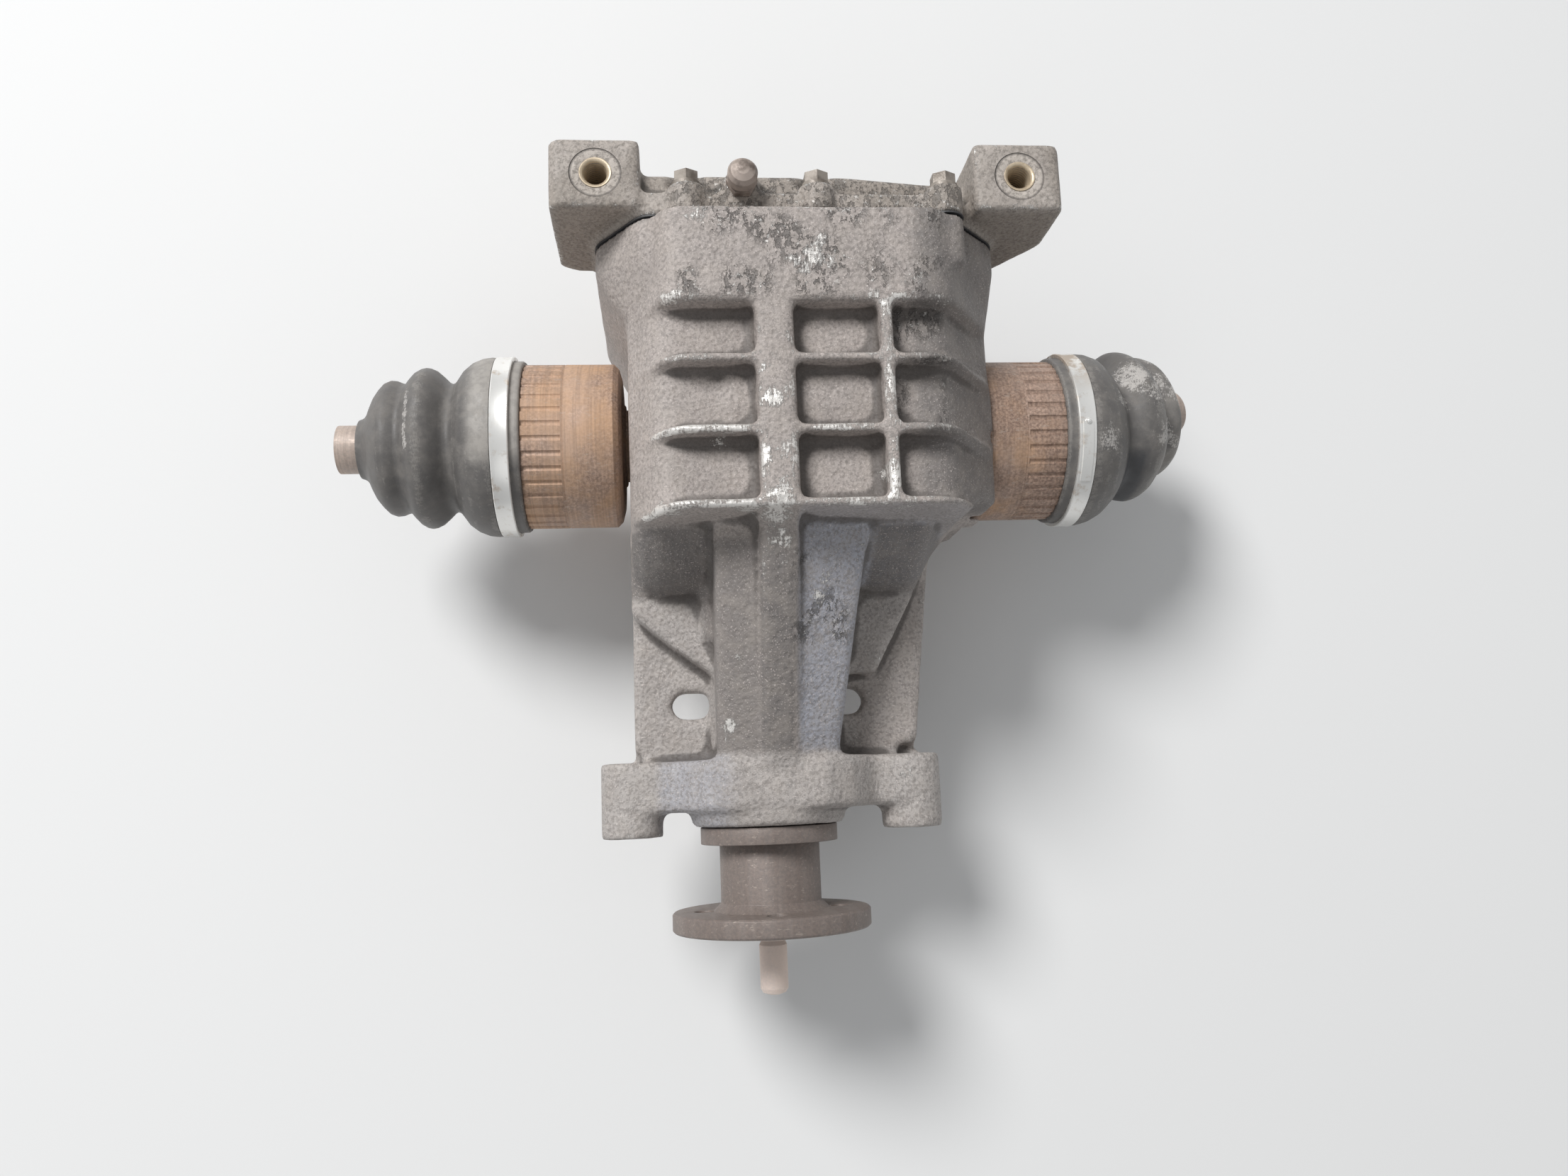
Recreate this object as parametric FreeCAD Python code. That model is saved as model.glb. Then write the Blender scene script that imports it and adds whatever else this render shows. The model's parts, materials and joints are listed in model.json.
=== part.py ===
"""Rear differential of a small rear-wheel-drive car, with the inner joints of both drive shafts.

All sizes are millimetres. The pieces are built round the point where the axle line (X) meets the
pinion line (Y): +X is the ring-gear side, -Y is the nose, +Z is the ribbed side. When they are
written, they are moved along +Y, so that the part's origin is the centre of the companion flange.
"""
import FreeCAD, Part
import math
import os

V = FreeCAD.Vector
ORIGIN = V(0, 0, 0)
EX, EY, EZ = V(1, 0, 0), V(0, 1, 0), V(0, 0, 1)

# Main distances of the final drive

flange_to_axle = 252.0      # companion flange face to axle line
left_face = 65.5            # axle line's left seal face, from the pinion line
right_face = 119.0          # right face of the casting, from the pinion line
cover_joint = 88.0          # joint between housing and cover, behind the axle line
sump_depth = 94.0           # flat bottom below the axle line
deck_height = 84.0          # floor of the ribbed deck above the axle line
rib_height = 14.0           # ribs and pad above the deck floor
crossbar_front = 193.0      # front edge of the crossbar, ahead of the axle line
nose_end = 200.6            # end of the nose, ahead of the axle line
nose_radius = 39.0

# Ring gear and pinion

ring_teeth = 41
pinion_teeth = 11
ring_radius = 74.0
gear_face_width = 23.0
spiral_angle = 35.0
gear_pressure = 22.5
gear_backlash = 0.5
ring_back = 46.0            # mounting face of the ring gear, from the pinion line
ring_bore = 47.0

# Differential case and its gears

spider_teeth = 10
side_teeth = 16
side_gear_reach = 36.0      # outer cone distance of the differential gears
side_gear_width = 12.5
differential_pressure = 25.0
differential_backlash = 0.5
spider_centre = 2.0         # cross pin's place along the axle
case_radius = 46.9
case_sphere = 40.1          # inner sphere that the spider washers bear on
case_flange_radius = 71.0
case_flange_thickness = 11.0
case_left_end = 34.0        # shoulder for the left side bearing, left of the pinion line
case_right_end = 64.0       # shoulder for the right side bearing
cross_pin_radius = 9.0
washer_thickness = 0.9

# Bearings

trunnion_radius = 20.0
side_bearing_radius = 37.5
side_bearing_width = 18.0
side_bearing_rollers = 18
shim_thickness = 2.0
pinion_rear_journal = 17.5
pinion_rear_radius = 33.0
pinion_rear_width = 20.0
pinion_front_journal = 15.0
pinion_front_radius = 31.0
pinion_front_width = 18.0
pinion_rollers = 15
roller_gap = 0.05

# Pinion shaft and companion flange

pinion_head_back = 80.0     # back of the pinion head, ahead of the axle line
pinion_seal_depth = 11.0
front_bearing_face = nose_end - pinion_seal_depth - 1.6    # flange-side face of the front bearing
flange_radius = 50.0
flange_thickness = 9.5
flange_hub_radius = 25.4
flange_pitch_circle = 68.0
flange_holes = 4
flange_hole_radius = 5.0
centring_pin_radius = 7.0
centring_pin_reach = 32.0   # how far the pin stands out of the flange face
deflector_radius = 34.8

# Inner joints of the drive shafts

joint_radius = 43.0
joint_length = 62.0
joint_lip_radius = 41.4     # seat of the boot's collar
joint_plain_length = 28.8   # back of the joint housing to its fluted band
joint_flute_length = 21.0
joint_flutes = 36
joint_pivot_depth = 35.0    # back of the joint housing to the tripod centre
left_joint_back = 69.8      # back of the left joint housing, from the pinion line
right_joint_back = 109.0
stub_spline_radius = 14.15
stub_journal_radius = 15.2
seal_journal_radius = 19.0
tripod_pitch = 21.5         # roller centre from the shaft's centre line
track_radius = 15.9
roller_radius = 14.0
roller_half_width = 5.5
shaft_radius = 12.6
left_shaft_length = 112.0   # tripod centre to the sawn end
right_shaft_length = 110.0
boot_length = 100.7         # tripod centre to the end of the boot's neck
right_yaw = 13.5            # rest angles of the right half-shaft
right_pitch = 15.0

# Boots and clamps

boot_wall = 2.5
boot_collar_radius = 46.6
clamp_radius = 47.6
clamp_width = 9.0
clamp_start = 55.0          # back of the joint housing to the clamp

# Ears, bosses and fasteners

ear_spacing = 206.5
left_ear_x = -78.0
ear_y = 109.0
ear_top = 88.0
ear_height = 74.0
ear_hole_radius = 6.0
ear_hole_depth = 34.0
front_boss_spacing = 143.5
left_boss_x = -69.0
front_boss_radius = 15.5
front_boss_hole = 6.2
cover_bolt_radius = 4.0
cover_bolt_height = 83.0    # top and bottom cover bolts from the axle line
cap_bolt_radius = 5.0
ring_bolt_radius = 5.0
ring_bolt_circle = 60.0
ring_bolts = 10
cover_depth = 26.0          # cover joint to the cover's rear face
gasket_thickness = 0.8

fit_gap = 0.05              # radial gap of running and sliding fits
press_gap = 0.02            # radial gap drawn between pieces pressed together


def box(x0, x1, y0, y1, z0, z1):
    return Part.makeBox(x1 - x0, y1 - y0, z1 - z0, V(x0, y0, z0))


def rod(radius, start, direction, length):
    return Part.makeCylinder(radius, length, start, direction)


def turned(profile, axis=EX):
    """Solid of revolution from (along, radius) points about an axis through the origin."""
    side = EY if abs(axis.dot(EX)) > 0.5 else EX
    points = [axis * along + side * radius for along, radius in profile]
    solid = Part.Face(Part.makePolygon(points + points[:1])).revolve(ORIGIN, axis, 360)
    if solid.Volume < 0:
        solid.reverse()
    return solid


def ring(start, end, inner, outer, axis=EX):
    return turned([(start, inner), (start, outer), (end, outer), (end, inner)], axis)


def fuse(shapes):
    return shapes[0].multiFuse(shapes[1:])


def carve(solid, tools):
    """Cut tools out one after another, which holds up better than one cut of many."""
    for tool in tools:
        solid = solid.cut(tool)
    return solid


def spun(shape, count, axis=EX, first=0.0, centre=ORIGIN):
    """Copies of a shape, spread evenly round an axis."""
    copies = []
    for index in range(count):
        copy = shape.copy()
        copy.rotate(centre, axis, first + index * 360.0 / count)
        copies.append(copy)
    return copies


def rounded_wire(points, radius):
    """Closed outline with every corner rounded; radius is one number or one for each corner."""
    radii = radius if isinstance(radius, list) else [radius] * len(points)
    edges, ends = [], []
    for index, corner in enumerate(points):
        before = (points[index - 1] - corner).normalize()
        after = (points[(index + 1) % len(points)] - corner).normalize()
        half = before.getAngle(after) / 2
        run = radii[index] / math.tan(half)
        middle = (before + after).normalize()
        nearest = corner + middle * (radii[index] / math.sin(half) - radii[index])
        ends.append((corner + before * run, nearest, corner + after * run))
    for index, (start, middle, end) in enumerate(ends):
        if radii[index] > 0:
            edges.append(Part.Arc(start, middle, end).toShape())
        following = ends[(index + 1) % len(ends)][0]
        if (following - end).Length > 1e-6:
            edges.append(Part.LineSegment(end, following).toShape())
    return Part.Wire(edges)


def upright(points, y0, y1, radius=0.0):
    """Outline of (x, z) points, extruded along Y."""
    wire = rounded_wire([V(x, y0, z) for x, z in points], radius)
    return Part.Face(wire).extrude(V(0, y1 - y0, 0))


def flat(points, z0, z1, radius=0.0):
    """Outline of (x, y) points, extruded along Z."""
    wire = rounded_wire([V(x, y, z0) for x, y in points], radius)
    return Part.Face(wire).extrude(V(0, 0, z1 - z0))


def hexagon(across_flats, start, direction, length):
    """Six-sided bar for bolt heads, nuts and plugs."""
    side = EZ if abs(direction.dot(EZ)) < 0.9 else EX
    corner = across_flats / math.sqrt(3)
    points = []
    for index in range(6):
        spoke = FreeCAD.Rotation(direction, 60.0 * index).multVec(side)
        points.append(start + spoke * corner)
    return Part.Face(Part.makePolygon(points + points[:1])).extrude(direction * length)


def bolt(size, seat, direction, length, head_height):
    """Flanged hex bolt with its seat at a point and its shank along a direction."""
    shank = rod(size, seat, direction, length)
    washer = rod(size * 1.75, seat, direction * -1, head_height * 0.25)
    head = hexagon(size * 2.8, seat, direction * -1, head_height)
    return fuse([shank, washer, head])


# Bevel gears


def involute_turn(polar, base):
    """How far round the axis a spherical involute has turned at a polar angle."""
    if polar <= base:
        return 0.0
    rolled = math.acos(math.cos(polar) / math.cos(base)) / math.sin(base)
    return rolled - math.acos(min(1.0, math.tan(base) / math.tan(polar)))


def tooth_space(gear, stations):
    """Solid of one tooth space: flat sections across the teeth, each true to the spherical involute."""
    along, across, upward = gear["frame"]
    base = math.asin(math.sin(gear["pitch"]) * math.cos(gear["pressure"]))
    pitch_open = math.pi / gear["teeth"] - gear["half_tooth"] - involute_turn(gear["pitch"], base)
    flank_points = 6
    wires = []
    for station in stations:
        flanks = []
        for side in (-1, 1):
            points = []
            for index in range(flank_points):
                share = index / (flank_points - 1)
                polar = gear["root"] + (gear["top"] - gear["root"]) * share
                opening = side * (pitch_open + involute_turn(polar, base))
                reach = station
                for _ in range(12):
                    turn = opening + gear["twist"](reach)
                    ray = (along * math.cos(polar) + across * (math.sin(polar) * math.cos(turn))
                           + upward * (math.sin(polar) * math.sin(turn)))
                    reach = station / ray.dot(gear["normal"])
                points.append(ray * reach)
            flanks.append(points)
        low, high = flanks
        curves = []
        for points in (low, high[::-1]):
            curve = Part.BSplineCurve()
            curve.interpolate(points)
            curves.append(curve.toShape())
        top = Part.LineSegment(low[-1], high[-1]).toShape()
        bottom = Part.LineSegment(high[0], low[0]).toShape()
        wires.append(Part.Wire([curves[0], top, curves[1], bottom]))
    return Part.makeLoft(wires, True, False)


def on_cone(reach, polar):
    """Axial place and radius of a point at a cone distance and polar angle."""
    return reach * math.cos(polar), reach * math.sin(polar)


def gear_pair(teeth_a, teeth_b, reach, pressure, addendum_a, addendum_b, share_a, backlash, root_share):
    """Cone angles and tooth thickness of two bevel gears at right angles; a is the larger one."""
    module = 2 * reach / math.hypot(teeth_a, teeth_b)
    pitch_length = math.pi * module
    cone_a = math.atan2(teeth_a, teeth_b)
    gears = []
    rows = ((teeth_a, cone_a, addendum_a, addendum_b, share_a),
            (teeth_b, math.pi / 2 - cone_a, addendum_b, addendum_a, 1 - share_a))
    for teeth, cone, addendum, mate, share in rows:
        radius = reach * math.sin(cone)
        gears.append({
            "teeth": teeth,
            "pitch": cone,
            "pressure": math.radians(pressure),
            "root": cone - math.atan((mate + root_share) * module / reach),
            "tip": cone + math.atan(addendum * module / reach),
            "top": cone + math.atan(addendum * module / reach) + math.radians(1.3),
            "half_tooth": (share * pitch_length - backlash / 2) / 2 / radius,
            "radius": radius,
        })
    return gears


gear_reach = ring_radius / math.sin(math.atan2(ring_teeth, pinion_teeth))
gear_inner = gear_reach - gear_face_width
gear_middle = (gear_reach + gear_inner) / 2
ring_data, pinion_data = gear_pair(ring_teeth, pinion_teeth, gear_reach, gear_pressure,
                                   0.42, 1.15, 0.43, gear_backlash, 0.22)


def ring_twist(reach):
    return math.tan(math.radians(spiral_angle)) / math.sin(ring_data["pitch"]) * math.log(reach / gear_middle)


def pinion_twist(reach):
    return -ring_teeth / pinion_teeth * ring_twist(reach)


def no_twist(reach):
    return 0.0


ring_data.update(frame=(EX, -EY, -EZ), normal=-EY, twist=ring_twist)
pinion_data.update(frame=(-EY, EX, EZ), normal=-EY, twist=pinion_twist)


def ring_gear():
    tip_out = on_cone(gear_reach, ring_data["tip"])
    tip_in = on_cone(gear_inner, ring_data["tip"])
    blank = turned([tip_out, tip_in, (tip_in[0] + 4, ring_bore), (ring_back, ring_bore),
                    (ring_back, ring_radius - 1.5), (tip_out[0] + 8, ring_radius + 0.5)])
    low = gear_inner * math.sin(ring_data["pitch"])
    high = ring_radius
    stations = [low - 5, low + 6, (low + high) / 2, high - 4, high + 5]
    space = tooth_space(ring_data, stations)
    holes = spun(rod(ring_bolt_radius, V(ring_back, 0, ring_bolt_circle), -EX, 17), ring_bolts, EX, 18.0)
    return blank.cut(spun(space, ring_teeth) + holes)


def pinion_shaft():
    """Head with its teeth, bearing journals, splined front, thread and centring pin, along -Y."""
    tip_out = on_cone(gear_reach, pinion_data["tip"])
    tip_in = on_cone(gear_inner, pinion_data["tip"])
    head = turned([(tip_out[0], tip_out[1]), (tip_in[0], tip_in[1]), (tip_in[0] - 2, 0.0),
                   (pinion_head_back, 0.0), (pinion_head_back, 21.0), (tip_out[0] + 3.5, 21.0)], -EY)
    low = gear_inner * math.cos(pinion_data["pitch"])
    high = gear_reach * math.cos(pinion_data["pitch"])
    stations = [low - 7, low + 2, low + 8, (low + high) / 2, high - 6, high + 1, high + 7]
    space = tooth_space(pinion_data, stations)
    head = head.cut(spun(space, pinion_teeth, EY, 180.0 / pinion_teeth))
    pin_end = flange_to_axle + centring_pin_reach
    profile = [
        (pinion_head_back - 4, 0.0), (pinion_head_back - 4, pinion_rear_journal),
        (rear_cone_end - 1, pinion_rear_journal), (rear_cone_end, pinion_rear_journal - 1.5),
        (front_cone_start, pinion_rear_journal - 1.5), (front_cone_start, pinion_front_journal),
        (front_bearing_face, pinion_front_journal), (front_bearing_face, spline_radius),
        (nut_seat, spline_radius), (nut_seat, thread_radius),
        (nut_seat + nut_height + 2, thread_radius), (nut_seat + nut_height + 3, centring_pin_radius - 1),
        (flange_to_axle + 6, centring_pin_radius - 1), (flange_to_axle + 8, centring_pin_radius),
        (pin_end - 3, centring_pin_radius), (pin_end - 1, centring_pin_radius - 1.2),
        (pin_end, centring_pin_radius - 4), (pin_end, 0.0)]
    return head.fuse(turned(profile, -EY))


spline_radius = 14.0
thread_radius = 10.0
nut_height = 12.0
nut_seat = flange_to_axle - 25.0
rear_shim_face = pinion_head_back + 1.5
rear_cone_end = rear_shim_face + pinion_rear_width
front_cone_start = front_bearing_face - pinion_front_width


# Taper roller bearings


def taper_bearing(bore, outer, width, count):
    """Cone, cup, rollers and cage of a bearing along +X, the cone's back face at X = 0."""
    lean = math.radians(14.0)
    roller_size = 0.2 * (outer - bore)
    large_place = 0.19 * width
    large_radius = (bore + outer) / 2 + 0.10 * (outer - bore)
    apex = large_place + large_radius / math.tan(lean)
    slant = large_radius / math.sin(lean)
    spread = math.atan(roller_size / slant)
    length = 0.64 * width
    gap = math.atan(roller_gap / slant)
    inner_lean, outer_lean = lean - spread - gap, lean + spread + gap

    def race(place, angle):
        return (apex - place) * math.tan(angle)

    rib = large_place - roller_size * math.sin(lean) - roller_gap
    small_place = large_place + length * math.cos(lean) + 0.8
    cone = turned([
        (0.0, bore), (0.0, race(0.0, inner_lean) + 3.0), (rib, race(rib, inner_lean) + 3.0),
        (rib, race(rib, inner_lean)), (small_place, race(small_place, inner_lean)),
        (small_place, race(small_place, inner_lean) + 1.0), (width, race(width, inner_lean) + 1.0), (width, bore)])
    cup_start = 0.16 * width
    cup = turned([
        (cup_start, outer), (cup_start, race(cup_start, outer_lean)), (width, race(width, outer_lean)),
        (width, outer)])
    start, end = slant, slant - length
    roller = turned([(start, 0.0), (start, start * math.tan(spread)), (end, end * math.tan(spread)), (end, 0.0)])
    roller.rotate(ORIGIN, EZ, 180.0 - math.degrees(lean))
    roller.translate(V(apex, 0, 0))
    rollers = spun(roller, count)
    cage_start, cage_end = large_place - 1.2, min(width - 0.5, small_place + 1.5)
    cage_half = 0.55
    cage = turned([
        (cage_start, race(cage_start, lean) + cage_half * 2 + 1), (cage_start, race(cage_start, lean) + cage_half),
        (cage_end, race(cage_end, lean) + cage_half), (cage_end, race(cage_end, lean) + cage_half * 2 + 1)])
    pocket_gap = 0.25
    pocket = turned([
        (start + pocket_gap, 0.0), (start + pocket_gap, start * math.tan(spread) + pocket_gap),
        (end - pocket_gap, end * math.tan(spread) + pocket_gap), (end - pocket_gap, 0.0)])
    pocket.rotate(ORIGIN, EZ, 180.0 - math.degrees(lean))
    pocket.translate(V(apex, 0, 0))
    return cone, cup, rollers, cage.cut(spun(pocket, count))


def placed(shape, start, direction):
    """Move a shape made along +X to a start point and direction."""
    copy = shape.copy()
    copy.Placement = FreeCAD.Placement(start, FreeCAD.Rotation(EX, direction)).multiply(copy.Placement)
    return copy


def bearing_at(bearing, start, direction):
    cone, cup, rollers, cage = bearing
    moved = [placed(roller, start, direction) for roller in rollers]
    return (placed(cone, start, direction), placed(cup, start, direction),
            Part.makeCompound(moved + [placed(cage, start, direction)]))


side_bearing = taper_bearing(trunnion_radius, side_bearing_radius, side_bearing_width, side_bearing_rollers)
rear_bearing = taper_bearing(pinion_rear_journal, pinion_rear_radius, pinion_rear_width, pinion_rollers)
front_bearing = taper_bearing(pinion_front_journal, pinion_front_radius, pinion_front_width, pinion_rollers)


# Differential case and the gears inside it

side_data, spider_data = gear_pair(side_teeth, spider_teeth, side_gear_reach, differential_pressure,
                                   0.55, 0.95, 0.46, differential_backlash, 0.25)
side_data.update(frame=(-EX, EZ, EY), normal=EZ, twist=no_twist)
spider_data.update(frame=(EZ, -EX, EY), normal=EZ, twist=no_twist)
side_gear_back = 24.0       # flat back of a side gear, from the cross pin's centre
side_hub_radius = 19.9
side_hub_end = 30.5
side_gear_face = 9.8
case_cheek = side_gear_back + washer_thickness + 2 * fit_gap
stub_end = side_gear_face + 0.2
circlip_place = side_gear_face + 1.8
circlip_width = 1.6


def side_gear():
    """Left side gear about the cross pin's centre, its teeth facing +X."""
    inner_reach = side_gear_reach - side_gear_width
    tip_out = on_cone(side_gear_reach, side_data["tip"])
    tip_in = on_cone(inner_reach, side_data["tip"])
    bore = stub_spline_radius + fit_gap
    recess = bore + 1.3
    recess_end = circlip_place + circlip_width + fit_gap
    blank = turned([
        (side_hub_end, bore), (side_hub_end, side_hub_radius), (side_gear_back, side_hub_radius),
        (side_gear_back, tip_out[1] - 0.8), (tip_out[0] + 3.0, tip_out[1] + 0.3), tip_out, tip_in,
        (side_gear_face, tip_in[1] - 2.6), (side_gear_face, recess), (recess_end, recess), (recess_end, bore)], -EX)
    low = inner_reach * math.sin(side_data["pitch"])
    high = side_gear_reach * math.sin(side_data["pitch"])
    space = tooth_space(side_data, [low - 5, high + 5])
    return blank.cut(spun(space, side_teeth))


def spider_gear():
    """Spider gear on the +Z side of the cross pin's centre."""
    inner_reach = side_gear_reach - side_gear_width
    back_sphere = case_sphere - washer_thickness - 2 * fit_gap
    tip_out = on_cone(side_gear_reach, spider_data["tip"])
    tip_in = on_cone(inner_reach, spider_data["tip"])
    bore = cross_pin_radius + fit_gap
    blank = turned([
        (tip_in[0] - 0.5, bore), tip_in, tip_out, (tip_out[0] + 3.0, tip_out[1] - 0.5), (back_sphere + 1, 18.0),
        (back_sphere + 1, bore)], EZ)
    blank = blank.common(Part.makeSphere(back_sphere))
    low = inner_reach * math.cos(spider_data["pitch"])
    high = side_gear_reach * math.cos(spider_data["pitch"])
    space = tooth_space(spider_data, [low - 6, high + 6])
    return blank.cut(spun(space, spider_teeth, EZ, 180.0 / spider_teeth))


def spider_washer():
    outer = case_sphere - fit_gap
    shell = Part.makeSphere(outer).cut(Part.makeSphere(outer - washer_thickness))
    return shell.common(ring(20.0, outer + 1, cross_pin_radius + 0.3, 15.5, EZ))


def about_pin(shape):
    """Move a piece made about the origin to the cross pin's centre."""
    copy = shape.copy()
    copy.translate(V(spider_centre, 0, 0))
    return copy


def differential_case():
    """One-piece case: body through the ring gear's bore, flange, trunnions, two windows."""
    left_journal = -case_left_end - side_bearing_width - 1.0
    right_journal = case_right_end + side_bearing_width + 1.0
    body_left = -case_left_end + 4.0
    flange_end = ring_back + case_flange_thickness
    outer = turned([
        (left_journal, 0.0), (left_journal, trunnion_radius), (-case_left_end, trunnion_radius),
        (-case_left_end, 27.0), (body_left, 30.0), (body_left + 6, case_radius), (ring_back, case_radius),
        (ring_back, case_flange_radius), (flange_end, case_flange_radius), (flange_end, 40.0),
        (case_right_end - 1, 30.0), (case_right_end, 27.0), (case_right_end, trunnion_radius),
        (right_journal, trunnion_radius), (right_journal, 0.0)])
    cavity = about_pin(Part.makeSphere(case_sphere).common(
        rod(case_sphere, V(-case_cheek, 0, 0), EX, 2 * case_cheek)))
    hub_room = ring(spider_centre - side_hub_end - 1.0, spider_centre + side_hub_end + 1.0, 0.0,
                    side_hub_radius + fit_gap)
    shaft_room = ring(left_journal - 1, right_journal + 1, 0.0, stub_journal_radius + 0.1)
    window_half, window_width = 22.0, 30.0
    window = upright([
        (spider_centre - window_half, -window_width), (spider_centre + window_half, -window_width),
        (spider_centre + window_half, window_width), (spider_centre - window_half, window_width)],
        -case_radius - 5, case_radius + 5, 8.0)
    window = window.cut(ring(spider_centre - window_half - 1, spider_centre + window_half + 1, 0.0, 26.0))
    pin_room = rod(cross_pin_radius + fit_gap, V(spider_centre, 0, -case_radius - 1), EZ, 2 * case_radius + 2)
    lock = lock_room(press_gap)
    holes = spun(rod(ring_bolt_radius + 0.3, V(ring_back - 1, 0, ring_bolt_circle), EX, 14), ring_bolts, EX, 18.0)
    scallop_radius = 9.0
    scallops = spun(rod(scallop_radius, V(ring_back - 1, 0, case_flange_radius + 4), EX, 14), ring_bolts, EX, 0.0)
    return outer.cut([cavity, hub_room, shaft_room, window, pin_room, lock] + holes + scallops)


def lock_room(gap):
    """Roll pin that holds the cross pin, driven along the axle through the case wall."""
    lock_radius = 2.5
    lock_height = case_radius - 3.8
    return rod(lock_radius + gap, V(spider_centre - 14.0, 0, lock_height), EX, 28.0)


def cross_pin():
    length = 2 * case_radius - 1.0
    pin = rod(cross_pin_radius, V(spider_centre, 0, -length / 2), EZ, length)
    pin = pin.makeChamfer(0.8, [pin.Edges[0], pin.Edges[2]])
    return pin.cut(lock_room(fit_gap))


def ring_gear_bolts():
    seat = ring_back + case_flange_thickness
    return spun(bolt(ring_bolt_radius, V(seat, 0, ring_bolt_circle), -EX, case_flange_thickness + 15, 6.0),
                ring_bolts, EX, 18.0)


def side_washers():
    washer = ring(side_gear_back + fit_gap, side_gear_back + fit_gap + washer_thickness,
                  side_hub_radius + fit_gap, 31.0)
    mirrored = washer.mirror(ORIGIN, EX)
    return [about_pin(washer), about_pin(mirrored)]


# Inner joints of the drive shafts


def joint_tracks(start, end):
    """Three round tracks and the middle bore that the tripod moves in."""
    bore_radius = 20.0
    tracks = spun(rod(track_radius, V(start, 0, tripod_pitch), EX, end - start), 3)
    return fuse(tracks + [rod(bore_radius, V(start, 0, 0), EX, end - start)])


def joint_housing(stub_length, spline_length, journal_length):
    """Joint housing with its stub shaft; its back is at X = 0 and it opens towards +X."""
    flute_start = joint_plain_length
    flute_end = flute_start + joint_flute_length
    chamfer = 2.6
    body = turned([
        (0.0, 0.0), (0.0, joint_radius - 8.0), (1.5, joint_radius - chamfer), (1.5 + chamfer, joint_radius),
        (flute_start, joint_radius), (flute_start, joint_radius - 0.4), (flute_start + 1.0, joint_radius),
        (flute_end, joint_radius), (flute_end, joint_lip_radius), (joint_length - 1.5, joint_lip_radius),
        (joint_length, joint_lip_radius - 1.5), (joint_length, 0.0)])
    groove_radius = 1.6
    groove = rod(groove_radius, V(flute_start + 1.2, 0, joint_radius + 0.75), EX, joint_flute_length - 1.2)
    track_start = 10.0
    mouth = turned([(46.0, 0.0), (46.0, 20.0), (joint_length + 0.5, 27.5), (joint_length + 0.5, 0.0)])
    body = body.cut(spun(groove, joint_flutes) + [joint_tracks(track_start, joint_length + 1), mouth])
    stub = turned([
        (1.0, 0.0), (1.0, 24.0), (-1.6, 21.0), (-1.6, seal_journal_radius), (-journal_length, seal_journal_radius),
        (-journal_length - 2.0, stub_journal_radius), (spline_length - stub_length, stub_journal_radius),
        (spline_length - stub_length, stub_spline_radius), (-stub_length + 1, stub_spline_radius),
        (-stub_length, stub_spline_radius - 1), (-stub_length, 0.0)])
    groove_at = -stub_length + circlip_place - stub_end
    clip_groove = ring(groove_at - fit_gap, groove_at + circlip_width + fit_gap, stub_spline_radius - 1.3,
                       stub_spline_radius + 1)
    return body.fuse(stub.cut(clip_groove))


def circlip():
    """Wire ring of the stub, open at one side, between its groove and the side gear's recess."""
    loop = ring(circlip_place, circlip_place + circlip_width, stub_spline_radius - 1.2, stub_spline_radius + 1.1)
    return loop.cut(box(0, 30, -3, 3, 0, 30))


def tripod():
    """Hub with three trunnions, centred at the origin, the shaft along +X."""
    hub_half, hub_radius, trunnion, trunnion_end = 10.0, 15.6, 8.5, 28.0
    hub = turned([
        (-hub_half, 0.0), (-hub_half, hub_radius - 2), (-hub_half + 2, hub_radius), (hub_half - 2, hub_radius),
        (hub_half, hub_radius - 2), (hub_half, 0.0)])
    arms = spun(rod(trunnion, ORIGIN, EZ, trunnion_end), 3)
    return fuse([hub] + arms).cut(rod(tripod_bore, V(-hub_half - 1, 0, 0), EX, 2 * hub_half + 2))


tripod_bore = 11.5


def tripod_rollers():
    low, high = tripod_pitch - roller_half_width, tripod_pitch + roller_half_width
    ball = Part.makeSphere(roller_radius, V(0, 0, tripod_pitch))
    roller = ball.common(ring(low, high, 8.5 + fit_gap, roller_radius + 1, EZ))
    return spun(roller, 3)


def half_shaft(length):
    """Shaft from just inside the tripod to the sawn end, along +X."""
    hub_half, clip_room = 10.0, 3.2
    return turned([
        (-hub_half - clip_room, 0.0), (-hub_half - clip_room, tripod_bore - 1.2),
        (-hub_half - clip_room + 1, tripod_bore - fit_gap), (-hub_half - 1.6, tripod_bore - fit_gap),
        (-hub_half - 1.6, tripod_bore - 1.2), (-hub_half, tripod_bore - 1.2),
        (-hub_half, tripod_bore - fit_gap), (hub_half + 0.1, tripod_bore - fit_gap),
        (hub_half + 1.3, shaft_radius), (length, shaft_radius), (length, 0.0)])


def retaining_ring():
    loop = ring(-11.5, -10.05, tripod_bore - 1.1, tripod_bore + 2.0)
    return loop.cut(box(-13, -8, -3, 3, 0, 30))


def bellows_profile(length, hood, inset):
    """Points along the bellows, from its wide end to the collar on the shaft."""
    shaft_collar = shaft_radius + fit_gap + boot_wall - inset
    wide = boot_collar_radius - inset
    fold = (length - hood) / 70.7
    points = [
        (0.0, wide), (9.0, wide - 1.5), (18.0, wide - 8), (21.0, 33.5 - inset), (24.0, 33.0 - inset),
        (30.0, 40.0 - inset), (35.5, 41.7 - inset), (41.0, 40.0 - inset), (45.0, 33.5 - inset),
        (48.0, 33.5 - inset), (53.0, 35.3 - inset), (58.0, 32.5 - inset), (62.7, 24.0 - inset),
        (67.7, shaft_collar + 1.5), (70.7, shaft_collar)]
    return [(hood + along * fold, radius) for along, radius in points]


# Housing


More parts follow.
